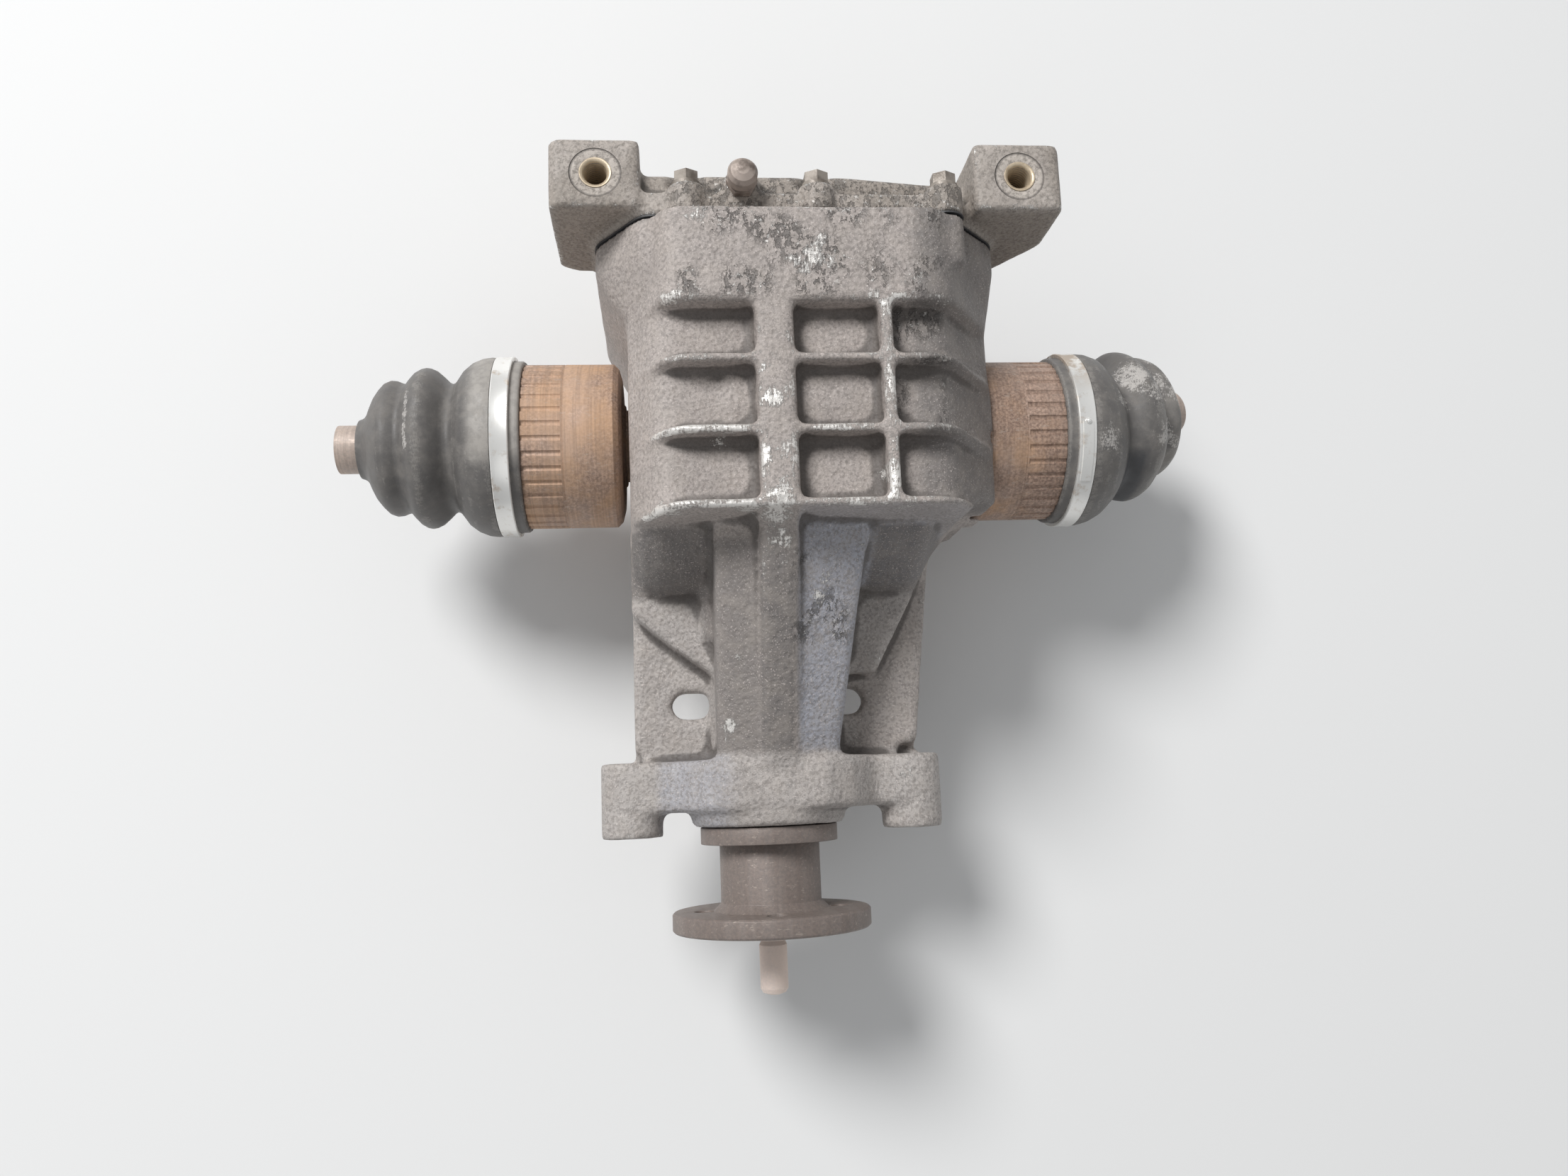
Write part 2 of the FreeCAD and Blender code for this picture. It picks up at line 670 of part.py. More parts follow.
deck_left, deck_right = -43.0, 86.0
wing_left, wing_right = -81.0, 122.5
opening_left, opening_right = -58.0, 96.0
opening_half = ring_radius + 1.5
pad_front = 41.0
deck_front = -53.0
rib_places = [14.0, -20.0, -55.0]
rib_thickness = 4.0
spine_rib = (-5.0, 13.0)
thin_rib = (53.7, 59.7)
crossbar_back = 167.5
crossbar_half = 15.5
boss_end = 205.0
neck_radius = 28.5          # nose between its two bearings
web_top, web_bottom = 2.0, -10.0
gusset_top = 16.0
chamber_wall = 8.0
left_shim_start = -case_left_end - side_bearing_width
right_shim_start = case_right_end + side_bearing_width
web_of_bore = 4.0
seal_radius = 30.0
left_seal_start = left_shim_start - shim_thickness - web_of_bore
right_seal_end = right_joint_back - 2.0
right_seal_start = right_seal_end - 9.0
collar_room_radius = joint_radius + 1.8
pinion_seal_radius = 33.0
pinion_seal_start = nose_end - pinion_seal_depth
flange_journal_radius = 24.0
cap_thickness = 14.0
cap_bolt_place = side_bearing_radius + 11.5
cap_height = 50.0
bolt_boss_radius = 9.0
bolt_depth = 20.0
cover_flange_thickness = 12.0

flange_outline = [
    (wing_left + 20, -sump_depth), (wing_left, -sump_depth + 24), (wing_left, 52.0), (wing_left + 24, 86.0),
    (wing_right - 30, 86.0), (wing_right, 54.0), (wing_right, -sump_depth + 24), (wing_right - 22, -sump_depth)]
body_outline = [
    (-left_face + 12, -sump_depth), (-left_face, -sump_depth + 20), (-left_face, 58.0), (deck_left - 8, deck_height),
    (deck_right, deck_height), (right_face, 44.0), (right_face, -sump_depth + 28), (right_face - 20, -sump_depth)]
rib_outline = [
    (-left_face + 5, 10.0), (-left_face + 1, 60.0), (deck_left - 3, deck_height + rib_height),
    (deck_right, deck_height + rib_height), (right_face - 1.5, 50.0), (right_face - 7, 10.0)]
opening_outline = [
    (opening_left, -opening_half), (opening_right, -opening_half), (opening_right, opening_half - 20),
    (opening_right - 14, opening_half), (opening_left + 12, opening_half), (opening_left, opening_half - 21)]
opening_corners = [16, 16, 10, 8, 8, 8]
cover_bolt_points = [
    (-35.0, cover_bolt_height), (28.0, cover_bolt_height), (91.0, cover_bolt_height),
    (-35.0, -cover_bolt_height), (28.0, -cover_bolt_height), (91.0, -cover_bolt_height),
    (-71.0, 0.0), (-71.0, -46.0), (114.0, 0.0), (114.0, -46.0)]


def soften(shape, radius, chosen):
    """Round the edges of a simple solid that a test picks."""
    return shape.makeFillet(radius, [edge for edge in shape.Edges if chosen(edge)])


def edge_middle(edge):
    return edge.valueAt((edge.FirstParameter + edge.LastParameter) / 2)


def along_rib(points, x0, x1, radius):
    """Rib of (y, z) points between two x places, with its upper long edges rounded."""
    wire = Part.makePolygon([V(x0, y, z) for y, z in points + points[:1]])
    solid = Part.Face(wire).extrude(V(x1 - x0, 0, 0))
    lowest = min(z for _, z in points)

    def upper_side(edge):
        middle = edge_middle(edge)
        on_side = min(abs(middle.x - x0), abs(middle.x - x1)) < 0.01
        return on_side and middle.z > lowest + 1.0 and abs(edge.tangentAt(edge.FirstParameter).z) < 0.95
    return soften(solid, radius, upper_side)


def housing_outside():
    upper = upright(body_outline, deck_front, cover_joint - 14, [8, 14, 20, 14, 14, 22, 14, 10])
    upper = upper.common(box(-200, 200, -200, 200, 0, 200)).cut(front_corner())
    lower = upright(body_outline, -42.0, cover_joint - 14, [8, 14, 20, 14, 14, 22, 14, 10])
    lower = lower.common(box(-200, 200, -200, 200, -200, 0))
    shoulder = wing_loft()
    flange = upright(flange_outline, cover_joint - 14, cover_joint, [12, 14, 16, 12, 14, 16, 14, 12])
    drum_radius = ring_radius + 12.0
    drum = turned([
        (-left_face, 0.0), (-left_face, 60.0), (-40.0, 74.0), (-24.0, drum_radius - 3), (-18.0, drum_radius),
        (63.0, drum_radius), (70.0, drum_radius - 3), (84.0, 74.0), (92.0, 63.0), (104.5, 49.0),
        (112.0, 47.0), (right_face, 46.5), (right_face, 0.0)])
    drum_front = turned([
        (-left_face, 0.0), (-left_face, drum_radius - 10), (-60.0, drum_radius - 3), (-52.0, drum_radius),
        (75.0, drum_radius), (80.0, drum_radius - 2.5), (91.0, 64.0), (91.0, 0.0)])
    drum_front = drum_front.common(box(-200, 200, -200, deck_front + 3, -200, 200))
    rear_boss = pinion_rear_radius + 4.0
    nose = turned([
        (60.0, 0.0), (60.0, 50.0), (80.0, 44.0), (88.0, rear_boss), (rear_cone_end + 3.5, rear_boss),
        (rear_cone_end + 14, neck_radius), (crossbar_back, neck_radius), (crossbar_back, nose_radius),
        (nose_end - 1.5, nose_radius), (nose_end, nose_radius - 1.5), (nose_end, 0.0)], -EY)
    back_section = [(-26, 0), (-26, 72), (-8, 77), (16, 77), (50, 68), (54, 0)]
    front_section = [(-26, 0), (-26, 34), (-8, 38), (14, 38), (33, 31), (35, 0)]
    wires = []
    for place, section in ((deck_front + 3, back_section), (-crossbar_back - 4, front_section)):
        wires.append(rounded_wire([V(x, place, z) for x, z in section], [0, 5, 10, 10, 5, 0]))
    spine = Part.makeLoft(wires, True, True)
    return [upper, lower, shoulder, flange, drum, drum_front, nose, spine]


def front_corner():
    """Cut at the front corner on the ring-gear side, where the casting slopes towards the nose."""
    return flat([(right_face + 10, -45.0), (106.0, -45.0), (98.0, -53.0), (84.0, -70.0), (84.0, -95.0),
                 (right_face + 10, -95.0)], -1.0, deck_height + rib_height + 5)


def wing_loft():
    """The rear of the casting widens from the body to the joint flange."""
    sections = []
    for place, outline in ((46.0, body_outline), (cover_joint - 14, flange_outline)):
        sections.append(rounded_wire([V(x, place, z) for x, z in outline], [8, 14, 16, 12, 12, 16, 14, 10]))
    return Part.makeLoft(sections, True, True)


def housing_ribs():
    top = deck_height + rib_height
    ribs = []
    for place in rib_places:
        rib = upright(rib_outline, place - rib_thickness / 2, place + rib_thickness / 2, [0, 10, 18, 22, 12, 0])
        rib = soften(rib, rib_thickness / 2 - 0.4, lambda edge: edge_middle(edge).z > 45
                     and abs(edge.tangentAt(edge.FirstParameter).y) < 0.5)
        ribs.append(rib.cut(front_corner()) if place < deck_front else rib)
    pad = upright(rib_outline, pad_front, cover_joint, [0, 10, 16, 20, 12, 0])
    pad = soften(pad, 3.0, lambda edge: edge_middle(edge).z > 45
                 and abs(edge_middle(edge).y - pad_front) < 0.01)
    spine = along_rib([(pad_front + 4, top), (-55.0, top), (-63.0, 82.0), (-crossbar_back - 4, 40.5),
                       (-crossbar_back - 4, 10.0), (pad_front + 4, 10.0)], spine_rib[0], spine_rib[1], 3.0)
    thin = along_rib([(pad_front + 4, top), (rib_places[2], top), (rib_places[2], 60.0),
                      (pad_front + 4, 60.0)], thin_rib[0], thin_rib[1], 2.0)
    keel = along_rib([(-80.0, -20.0), (-crossbar_back, -20.0), (-crossbar_back, -46.0), (-80.0, -66.0)],
                     -4.0, 4.0, 1.0)
    return ribs + [pad, spine, thin, keel]


def housing_front():
    """Crossbar with its bosses, the slotted web and the gussets."""
    right_boss_x = left_boss_x + front_boss_spacing
    arch_top = nose_radius + 0.5
    bar = upright([
        (left_boss_x, -crossbar_half), (right_boss_x, -crossbar_half), (right_boss_x, crossbar_half),
        (54.0, crossbar_half + 1), (40.0, arch_top - 7), (26.0, arch_top), (-20.0, arch_top),
        (-32.0, arch_top - 7), (-46.0, crossbar_half + 1), (left_boss_x, crossbar_half)],
        -crossbar_front, -crossbar_back, [0, 0, 0, 8, 8, 8, 8, 8, 8, 0])
    bar = soften(bar, 3.0, lambda edge: abs(edge.tangentAt(edge.FirstParameter).y) < 0.5
                 and abs(edge_middle(edge).x - left_boss_x) > 0.01
                 and abs(edge_middle(edge).x - right_boss_x) > 0.01)
    bosses = [rod(front_boss_radius, V(x, -boss_end, 0), EY, boss_end - crossbar_back)
              for x in (left_boss_x, right_boss_x)]
    web_edge = -left_face - 1.5
    web = flat([(web_edge, -50.0), (web_edge, -crossbar_back - 4), (78.0, -crossbar_back - 4),
                (91.0, -63.0), (91.0, -50.0)], web_bottom, web_top)
    left_gusset = flat([(web_edge, -50.0), (web_edge, -93.0), (-48.0, -109.0), (-25.0, -126.0), (-10.0, -126.0),
                        (-10.0, -50.0)], web_bottom, gusset_top, [0, 4, 20, 6, 0, 0])
    right_gusset = flat([(78.5, -50.0), (78.5, -86.0), (57.0, -126.0), (20.0, -126.0), (20.0, -50.0)],
                        web_bottom, gusset_top, [0, 2, 3, 0, 0])
    return [bar] + bosses + [web, left_gusset, right_gusset]


def housing_slots():
    slot_front, slot_back, slot_end = -146.0, -132.5, 6.0
    left = flat([(-47.4, slot_front), (-20.0, slot_front), (-20.0, slot_back), (-47.4, slot_back)],
                web_bottom - 1, web_top + 1, slot_end)
    right = flat([(20.0, slot_front), (51.7, slot_front), (51.7, slot_back), (20.0, slot_back)],
                 web_bottom - 1, web_top + 1, slot_end)
    neck = ring(-slot_back - 10, -slot_front + 10, 0.0, neck_radius, -EY)
    return [left.cut(neck), right.cut(neck)]


def housing_rooms():
    """Everything that is bored or cored out of the housing."""
    ring_room_end = ring_back + case_flange_thickness + 9.5
    opening = upright(opening_outline, 0.0, cover_joint + 1, opening_corners)
    sump = upright([(opening_left + 10, -sump_depth + chamber_wall), (opening_right - 6, -sump_depth + chamber_wall),
                    (opening_right - 6, 0.0), (opening_left + 10, 0.0)], 10.0, cover_joint - 22, 6.0)
    case_room = ring(-case_left_end - 1.0, ring_room_end, 0.0, case_radius + 5.0)
    ring_room = ring(4.0, ring_room_end, 0.0, ring_radius + 4.0)
    side_bore = ring(left_shim_start - shim_thickness, right_shim_start + shim_thickness, 0.0,
                     side_bearing_radius + press_gap)
    shaft_bore = ring(-left_face - 5, right_face + 5, 0.0, 24.5)
    left_seal = ring(-left_face - 5, left_seal_start, 0.0, seal_radius + press_gap)
    right_seal = ring(right_seal_start, right_face + 5, 0.0, seal_radius + press_gap)
    right_collar = ring(right_seal_end, right_face + 5, 0.0, collar_room_radius)
    head_room = ring(40.0, pinion_head_back, 0.0, 27.5, -EY)
    rear_bore = ring(pinion_head_back - 2, rear_cone_end, 0.0, pinion_rear_radius + press_gap, -EY)
    middle_bore = ring(rear_cone_end - 1, front_cone_start + 1, 0.0, neck_radius - 4.5, -EY)
    front_bore = ring(front_cone_start, nose_end + 1, 0.0, pinion_front_radius + press_gap, -EY)
    seal_bore = ring(pinion_seal_start, nose_end + 1, 0.0, pinion_seal_radius + press_gap, -EY)
    return [opening, sump, case_room, ring_room, side_bore, shaft_bore, left_seal, right_seal, right_collar,
            head_room, rear_bore, middle_bore, front_bore, seal_bore]


def housing():
    bumps = [rod(bolt_boss_radius, V(x, cover_joint - bolt_depth - 5, z), EY, bolt_depth + 5)
             for x, z in cover_bolt_points if z > 50]
    solid = fuse(housing_outside() + housing_ribs() + housing_front() + bumps)
    threads = [rod(cover_bolt_radius + press_gap, V(x, cover_joint - bolt_depth, z), EY, bolt_depth + 1)
               for x, z in cover_bolt_points]
    cap_threads = [rod(cap_bolt_radius + press_gap, V(x, -32.0, z), EY, 33.0) for x, z in cap_bolt_points()]
    boss_holes = [rod(front_boss_hole, V(x, -boss_end - 1, 0), EY, boss_end - crossbar_back + 6)
                  for x in (left_boss_x, left_boss_x + front_boss_spacing)]
    return solid.cut(housing_rooms() + housing_slots() + threads + cap_threads + boss_holes)


# Bearing caps, shims and seals


def cap_centres():
    """Middle of each cap along the axle."""
    return (-case_left_end - side_bearing_width / 2, case_right_end + side_bearing_width / 2 + 1.5)


def cap_bolt_points():
    return [(x, z) for x in cap_centres() for z in (-cap_bolt_place, cap_bolt_place)]


def bearing_cap(centre):
    start = centre - cap_thickness / 2
    foot = cap_bolt_place + 10.0
    shoulder = 20.0
    points = [(0.0, -foot), (0.0, foot), (shoulder, foot), (cap_height, foot - 28), (cap_height, 28 - foot),
              (shoulder, -foot)]
    wire = rounded_wire([V(start, y, z) for y, z in points], [0, 0, 6, 14, 14, 6])
    cap = Part.Face(wire).extrude(V(cap_thickness, 0, 0))
    holes = [rod(cap_bolt_radius + 0.3, V(centre, -1, z), EY, shoulder + 20) for z in (-cap_bolt_place, cap_bolt_place)]
    seats = [rod(cap_bolt_radius * 2.3, V(centre, shoulder - 2, z), EY, 30)
             for z in (-cap_bolt_place, cap_bolt_place)]
    bore = ring(start - 1, start + cap_thickness + 1, 0.0, side_bearing_radius + press_gap)
    return cap.cut(holes + seats + [bore])


def cap_bolts():
    return [bolt(cap_bolt_radius, V(x, 18.0, z), -EY, 46.0, 8.0) for x, z in cap_bolt_points()]


def side_shims():
    inner = side_bearing_radius - 8.0
    left = ring(left_shim_start - shim_thickness, left_shim_start, inner, side_bearing_radius)
    right = ring(right_shim_start, right_shim_start + shim_thickness, inner, side_bearing_radius)
    return [left, right]


def lip_seal(start, end, outer, shaft):
    """Pressed seal with its lip on the shaft, open towards the start."""
    lip = shaft + fit_gap
    return [(start, outer), (start, outer - 2.5), (end - 3.0, outer - 2.5), (end - 3.0, lip + 3.0),
            (start + 1.5, lip + 2.2), (start + 1.5, lip + 0.6), (start + 3.0, lip), (end - 1.0, lip + 1.0),
            (end, lip + 1.0), (end, outer)]


# Cover


ear_back, ear_front = cover_joint + 39.0, cover_joint + 4.0
right_ear_x = left_ear_x + ear_spacing
dome_outline = [
    (-66.0, -72.5), (-66.0, 76.0), (-58.0, 80.0), (42.0, 80.0), (97.0, 72.0), (111.0, 60.0), (111.0, -72.5)]
dome_corners = [14, 6, 6, 20, 10, 12, 14]
pocket_outline = [
    (-58.0, -64.5), (103.0, -64.5), (103.0, 52.0), (92.0, 63.0), (40.0, 71.0), (-48.0, 71.0), (-58.0, 60.0)]
pocket_corners = [10, 10, 8, 8, 8, 8, 8]
filler_point = (22.0, -8.0)
drain_point = (22.0, -52.0)
plug_radius = 9.0
breather_x = -8.5
breather_y = cover_joint + 16.5
breather_seat = 86.5


def cover_ears():
    """Blocks for the rear mountings; each reaches from its outer side into the cover's wing."""
    bottom = ear_top - ear_height
    left_inner = max(wing_left + 24.0, left_ear_x + 16.0)
    right_inner = min(wing_right - 16.5, right_ear_x - 16.0)
    left_outer = left_ear_x - 22.5
    right_outer = right_ear_x + 21.5
    left = [(left_inner, bottom), (left_inner, ear_top), (left_outer, ear_top), (left_outer, bottom + 6),
            (left_outer + 9, bottom)]
    right = [(right_inner, bottom), (right_outer - 20, bottom), (right_outer, ear_top - 42),
             (right_outer, ear_top), (right_inner, ear_top)]
    ears = []
    for points, radii in ((left, [0, 3, 6, 3, 4]), (right, [0, 8, 12, 5, 3])):
        ear = upright(points, ear_front, ear_back, radii)
        ears.append(soften(ear, 2.0, lambda edge: abs(edge_middle(edge).y - ear_back) < 0.01))
    return ears


def rear_cover():
    front = cover_joint + gasket_thickness
    back = cover_joint + cover_depth
    flange = upright(flange_outline, front, front + cover_flange_thickness, [12, 14, 16, 12, 14, 16, 14, 12])
    dome = upright(dome_outline, front, back, dome_corners)
    dome = soften(dome, 6.0, lambda edge: abs(edge_middle(edge).y - back) < 0.01)
    bosses = [rod(bolt_boss_radius, V(x, front, z), EY, 15.2) for x, z in cover_bolt_points]
    breather_boss = rod(9.0, V(breather_x, breather_y, 60.0), EZ, breather_seat - 60.0)
    plug_bosses = [rod(plug_radius + 8, V(x, back - 6, z), EY, 9.0) for x, z in (filler_point, drain_point)]
    ribs = [box(x - 2.5, x + 2.5, front + 4, back + 4, -60.0, 62.0) for x in (-30.0, 74.0)]
    solid = fuse([flange, dome, breather_boss] + cover_ears() + bosses + plug_bosses + ribs)
    pocket = upright(pocket_outline, front - 1, back - 8, pocket_corners)
    bolt_holes = [rod(cover_bolt_radius + 0.3, V(x, front - 1, z), EY, 40) for x, z in cover_bolt_points]
    head_rooms = [rod(cover_bolt_radius * 2.3, V(x, front + 15.2, z), EY, 30) for x, z in cover_bolt_points]
    ear_holes = [rod(ear_hole_radius, V(x, ear_y, ear_top - ear_hole_depth), EZ, ear_hole_depth + 1)
                 for x in (left_ear_x, right_ear_x)]
    plug_holes = [rod(plug_radius + press_gap, V(x, back - 20, z), EY, 30) for x, z in (filler_point, drain_point)]
    breather_hole = rod(4.0, V(breather_x, breather_y, 50.0), EZ, 40)
    return carve(solid, [pocket, breather_hole] + bolt_holes + head_rooms + ear_holes + plug_holes)


def cover_gasket():
    sheet = upright(flange_outline, cover_joint, cover_joint + gasket_thickness, [12, 14, 16, 12, 14, 16, 14, 12])
    tabs = [rod(bolt_boss_radius, V(x, cover_joint, z), EY, gasket_thickness) for x, z in cover_bolt_points]
    opening = upright(opening_outline, cover_joint - 1, cover_joint + 2, opening_corners)
    holes = [rod(cover_bolt_radius + 0.3, V(x, cover_joint - 1, z), EY, 3) for x, z in cover_bolt_points]
    return fuse([sheet] + tabs).cut([opening] + holes)


def cover_bolts():
    seat = cover_joint + gasket_thickness + 15.2
    return [bolt(cover_bolt_radius, V(x, seat, z), -EY, 30.0, 7.0) for x, z in cover_bolt_points]


def plug(point):
    """Threaded plug with a flange and an inner hexagon."""
    x, z = point
    seat = cover_joint + cover_depth + 3.0
    body = rod(plug_radius, V(x, seat - 12, z), EY, 12.0)
    head = rod(plug_radius + 4, V(x, seat, z), EY, 4.0)
    socket = hexagon(10.0, V(x, seat - 5, z), EY, 12.0)
    return body.fuse(head).cut(socket)


def breather():
    """Breather with a hexagon foot and a domed cap, standing on the cover."""
    stem = turned([
        (-16.0, 0.0), (-16.0, 3.9), (0.0, 3.9), (0.0, 6.0), (4.5, 6.0), (5.0, 4.6), (6.0, 4.6), (6.0, 7.2),
        (11.0, 7.2), (13.5, 5.8), (15.0, 3.0), (15.5, 0.0)], EZ)
    foot = hexagon(13.0, V(0, 0, 0), EZ, 4.0)
    body = stem.fuse(foot)
    body.translate(V(breather_x, breather_y, breather_seat))
    return body


# Small parts of the pinion line


def crush_sleeve():
    bore = pinion_rear_journal - 1.5 + 0.3
    middle = (rear_cone_end + front_cone_start) / 2
    return turned([
        (rear_cone_end, bore), (rear_cone_end, bore + 3), (middle - 14, bore + 3), (middle - 6, bore + 6),
        (middle + 6, bore + 6), (middle + 14, bore + 3), (front_cone_start, bore + 3), (front_cone_start, bore),
        (middle + 14, bore), (middle + 6, bore + 3), (middle - 6, bore + 3), (middle - 14, bore)], -EY)


def companion_flange():
    nut_room = 20.0
    bore = spline_radius + fit_gap
    deflector_end = nose_end + 8.8
    body = turned([
        (front_bearing_face, bore), (front_bearing_face, flange_journal_radius),
        (deflector_end, flange_journal_radius), (deflector_end, flange_hub_radius),
        (flange_to_axle - flange_thickness - 4, flange_hub_radius), (flange_to_axle - flange_thickness, flange_hub_radius + 4),
        (flange_to_axle - flange_thickness, flange_radius - 1), (flange_to_axle - flange_thickness + 1, flange_radius),
        (flange_to_axle - 1, flange_radius), (flange_to_axle, flange_radius - 1), (flange_to_axle, nut_room),
        (nut_seat, nut_room), (nut_seat, bore)], -EY)
    holes = spun(rod(flange_hole_radius, V(flange_pitch_circle / 2, -flange_to_axle - 1, 0), EY,
                     flange_thickness + 2), flange_holes, EY)
    return body.cut(holes)


def dust_deflector():
    start, end, sheet = nose_end + 0.4, nose_end + 8.8, 1.6
    inner = flange_journal_radius + press_gap
    return turned([
        (end, inner), (end, deflector_radius), (start, deflector_radius), (start, deflector_radius - sheet),
        (end - sheet, deflector_radius - sheet), (end - sheet, inner + sheet), (start + 2, inner + sheet),
        (start + 2, inner)], -EY)


def pinion_nut():
    nut = hexagon(30.0, V(0, -nut_seat, 0), -EY, nut_height)
    washer = ring(nut_seat, nut_seat + 2.5, thread_radius, 18.5, -EY)
    return nut.fuse(washer).cut(ring(nut_seat - 1, nut_seat + nut_height + 1, 0.0, thread_radius + press_gap, -EY))


# Boots on the joints


def bellows_solid(length, hood, yaw, pitch, inset):
    """Solid inside one skin of the bellows; its rings lean over step by step to the shaft's direction."""
    rows = bellows_profile(length, hood, inset)
    bend_end = hood + 46.0 * (length - hood) / 70.7
    wires = []
    for along, radius in rows:
        share = min(1.0, max(0.0, (along - hood) / (bend_end - hood)))
        lean = FreeCAD.Rotation(EZ, yaw * share).multiply(FreeCAD.Rotation(EY, pitch * share))
        wires.append(Part.Wire(Part.Circle(lean.multVec(EX * along), lean.multVec(EX), radius).toShape()))
    return Part.makeLoft(wires, True, True)


def boot(length, yaw, pitch):
    """Boot about the pivot: a collar on the joint housing, and bellows that end on the shaft."""
    hood = joint_length - joint_pivot_depth + 3.0
    collar_start = joint_plain_length + joint_flute_length - joint_pivot_depth + 0.2
    seat = joint_lip_radius + fit_gap
    clamp_at = clamp_start - joint_pivot_depth
    collar = turned([
        (collar_start, seat), (collar_start, joint_radius + 1.2), (clamp_at - 1, joint_radius + 1.2),
        (clamp_at, boot_collar_radius - 1.4), (clamp_at + clamp_width, boot_collar_radius - 1.4),
        (clamp_at + clamp_width, boot_collar_radius), (hood, boot_collar_radius), (hood, seat)])
    outside = bellows_solid(length, hood, yaw, pitch, 0.0)
    inside = bellows_solid(length, hood, yaw, pitch, boot_wall)
    return collar.fuse(outside.cut(inside))


def boot_clamp():
    """Band clamp about the pivot, with the folded ear of its lock."""
    start = clamp_start - joint_pivot_depth
    inner = boot_collar_radius - 1.4 + fit_gap
    return ring(start, start + clamp_width, inner, clamp_radius)


# The whole assembly


def on_left(shape):
    """Turn a joint piece made along +X to the left side; its pivot is at the origin."""
    copy = shape.copy()
    copy.rotate(ORIGIN, EZ, 180)
    copy.translate(V(-left_joint_back - joint_pivot_depth, 0, 0))
    return copy


def on_right(shape):
    copy = shape.copy()
    copy.translate(V(right_joint_back + joint_pivot_depth, 0, 0))
    return copy


def leaning(shape):
    """Turn a piece about the pivot to the right half-shaft's rest angles."""
    copy = shape.copy()
    lean = FreeCAD.Rotation(EZ, right_yaw).multiply(FreeCAD.Rotation(EY, right_pitch))
    copy.Placement = FreeCAD.Placement(ORIGIN, lean).multiply(copy.Placement)
    return copy


def from_back(shape):
    """Move a piece made from the joint housing's back so that the pivot is at the origin."""
    copy = shape.copy()
    copy.translate(V(-joint_pivot_depth, 0, 0))
    return copy


def casing_nodes():
    left_cap, right_cap = [bearing_cap(centre) for centre in cap_centres()]
    _, left_cup, _ = bearing_at(side_bearing, V(-case_left_end, 0, 0), -EX)
    _, right_cup, _ = bearing_at(side_bearing, V(case_right_end, 0, 0), EX)
    _, rear_cup, _ = bearing_at(rear_bearing, V(0, -rear_shim_face, 0), -EY)
    _, front_cup, _ = bearing_at(front_bearing, V(0, -front_bearing_face, 0), EY)
    left_seal = turned(lip_seal(-left_seal_start, left_face, seal_radius, seal_journal_radius), -EX)
    right_seal = turned(lip_seal(right_seal_start, right_seal_end, seal_radius, seal_journal_radius))
    nose_seal = turned(lip_seal(pinion_seal_start, nose_end, pinion_seal_radius, flange_journal_radius), -EY)
    return {
        "housing": housing(), "rear_cover": rear_cover(), "cover_gasket": cover_gasket(),
        "cover_bolts": cover_bolts(), "bearing_cap_left": left_cap, "bearing_cap_right": right_cap,
        "cap_bolts": cap_bolts(), "side_shims": side_shims(), "side_bearing_cup_left": left_cup,
        "side_bearing_cup_right": right_cup, "pinion_rear_cup": rear_cup, "pinion_front_cup": front_cup,
        "pinion_seal": nose_seal, "axle_seal_left": left_seal, "axle_seal_right": right_seal,
        "filler_plug": plug(filler_point), "drain_plug": plug(drain_point), "breather": breather()}


def pinion_nodes():
    rear_cone, _, rear_rollers = bearing_at(rear_bearing, V(0, -rear_shim_face, 0), -EY)
    front_cone, _, front_rollers = bearing_at(front_bearing, V(0, -front_bearing_face, 0), EY)
    return {
        "pinion_shaft": pinion_shaft(),
        "depth_shim": ring(pinion_head_back, rear_shim_face, pinion_rear_journal + fit_gap, 24.5, -EY),
        "pinion_rear_cone": rear_cone, "crush_sleeve": crush_sleeve(), "pinion_front_cone": front_cone,
        "companion_flange": companion_flange(), "dust_deflector": dust_deflector(), "pinion_nut": pinion_nut(),
        "pinion_rear_rollers": rear_rollers, "pinion_front_rollers": front_rollers}


def carrier_nodes():
    left_cone, _, left_rollers = bearing_at(side_bearing, V(-case_left_end, 0, 0), -EX)
    right_cone, _, right_rollers = bearing_at(side_bearing, V(case_right_end, 0, 0), EX)
    upper_spider, lower_spider = spun(spider_gear(), 2)
    left_gear = side_gear()
    return {
        "ring_gear": ring_gear(), "ring_gear_bolts": ring_gear_bolts(), "differential_case": differential_case(),
        "side_bearing_cone_left": left_cone, "side_bearing_cone_right": right_cone,
        "cross_pin": cross_pin(), "cross_pin_lock": lock_room(0.0), "side_gear_washers": side_washers(),
        "spider_washers": [about_pin(washer) for washer in spun(spider_washer(), 2)],
        "spider_gear_upper": about_pin(upper_spider), "spider_gear_lower": about_pin(lower_spider),
        "side_gear_left": about_pin(left_gear), "side_gear_right": about_pin(left_gear.mirror(ORIGIN, EX)),
        "side_rollers_left": left_rollers, "side_rollers_right": right_rollers}


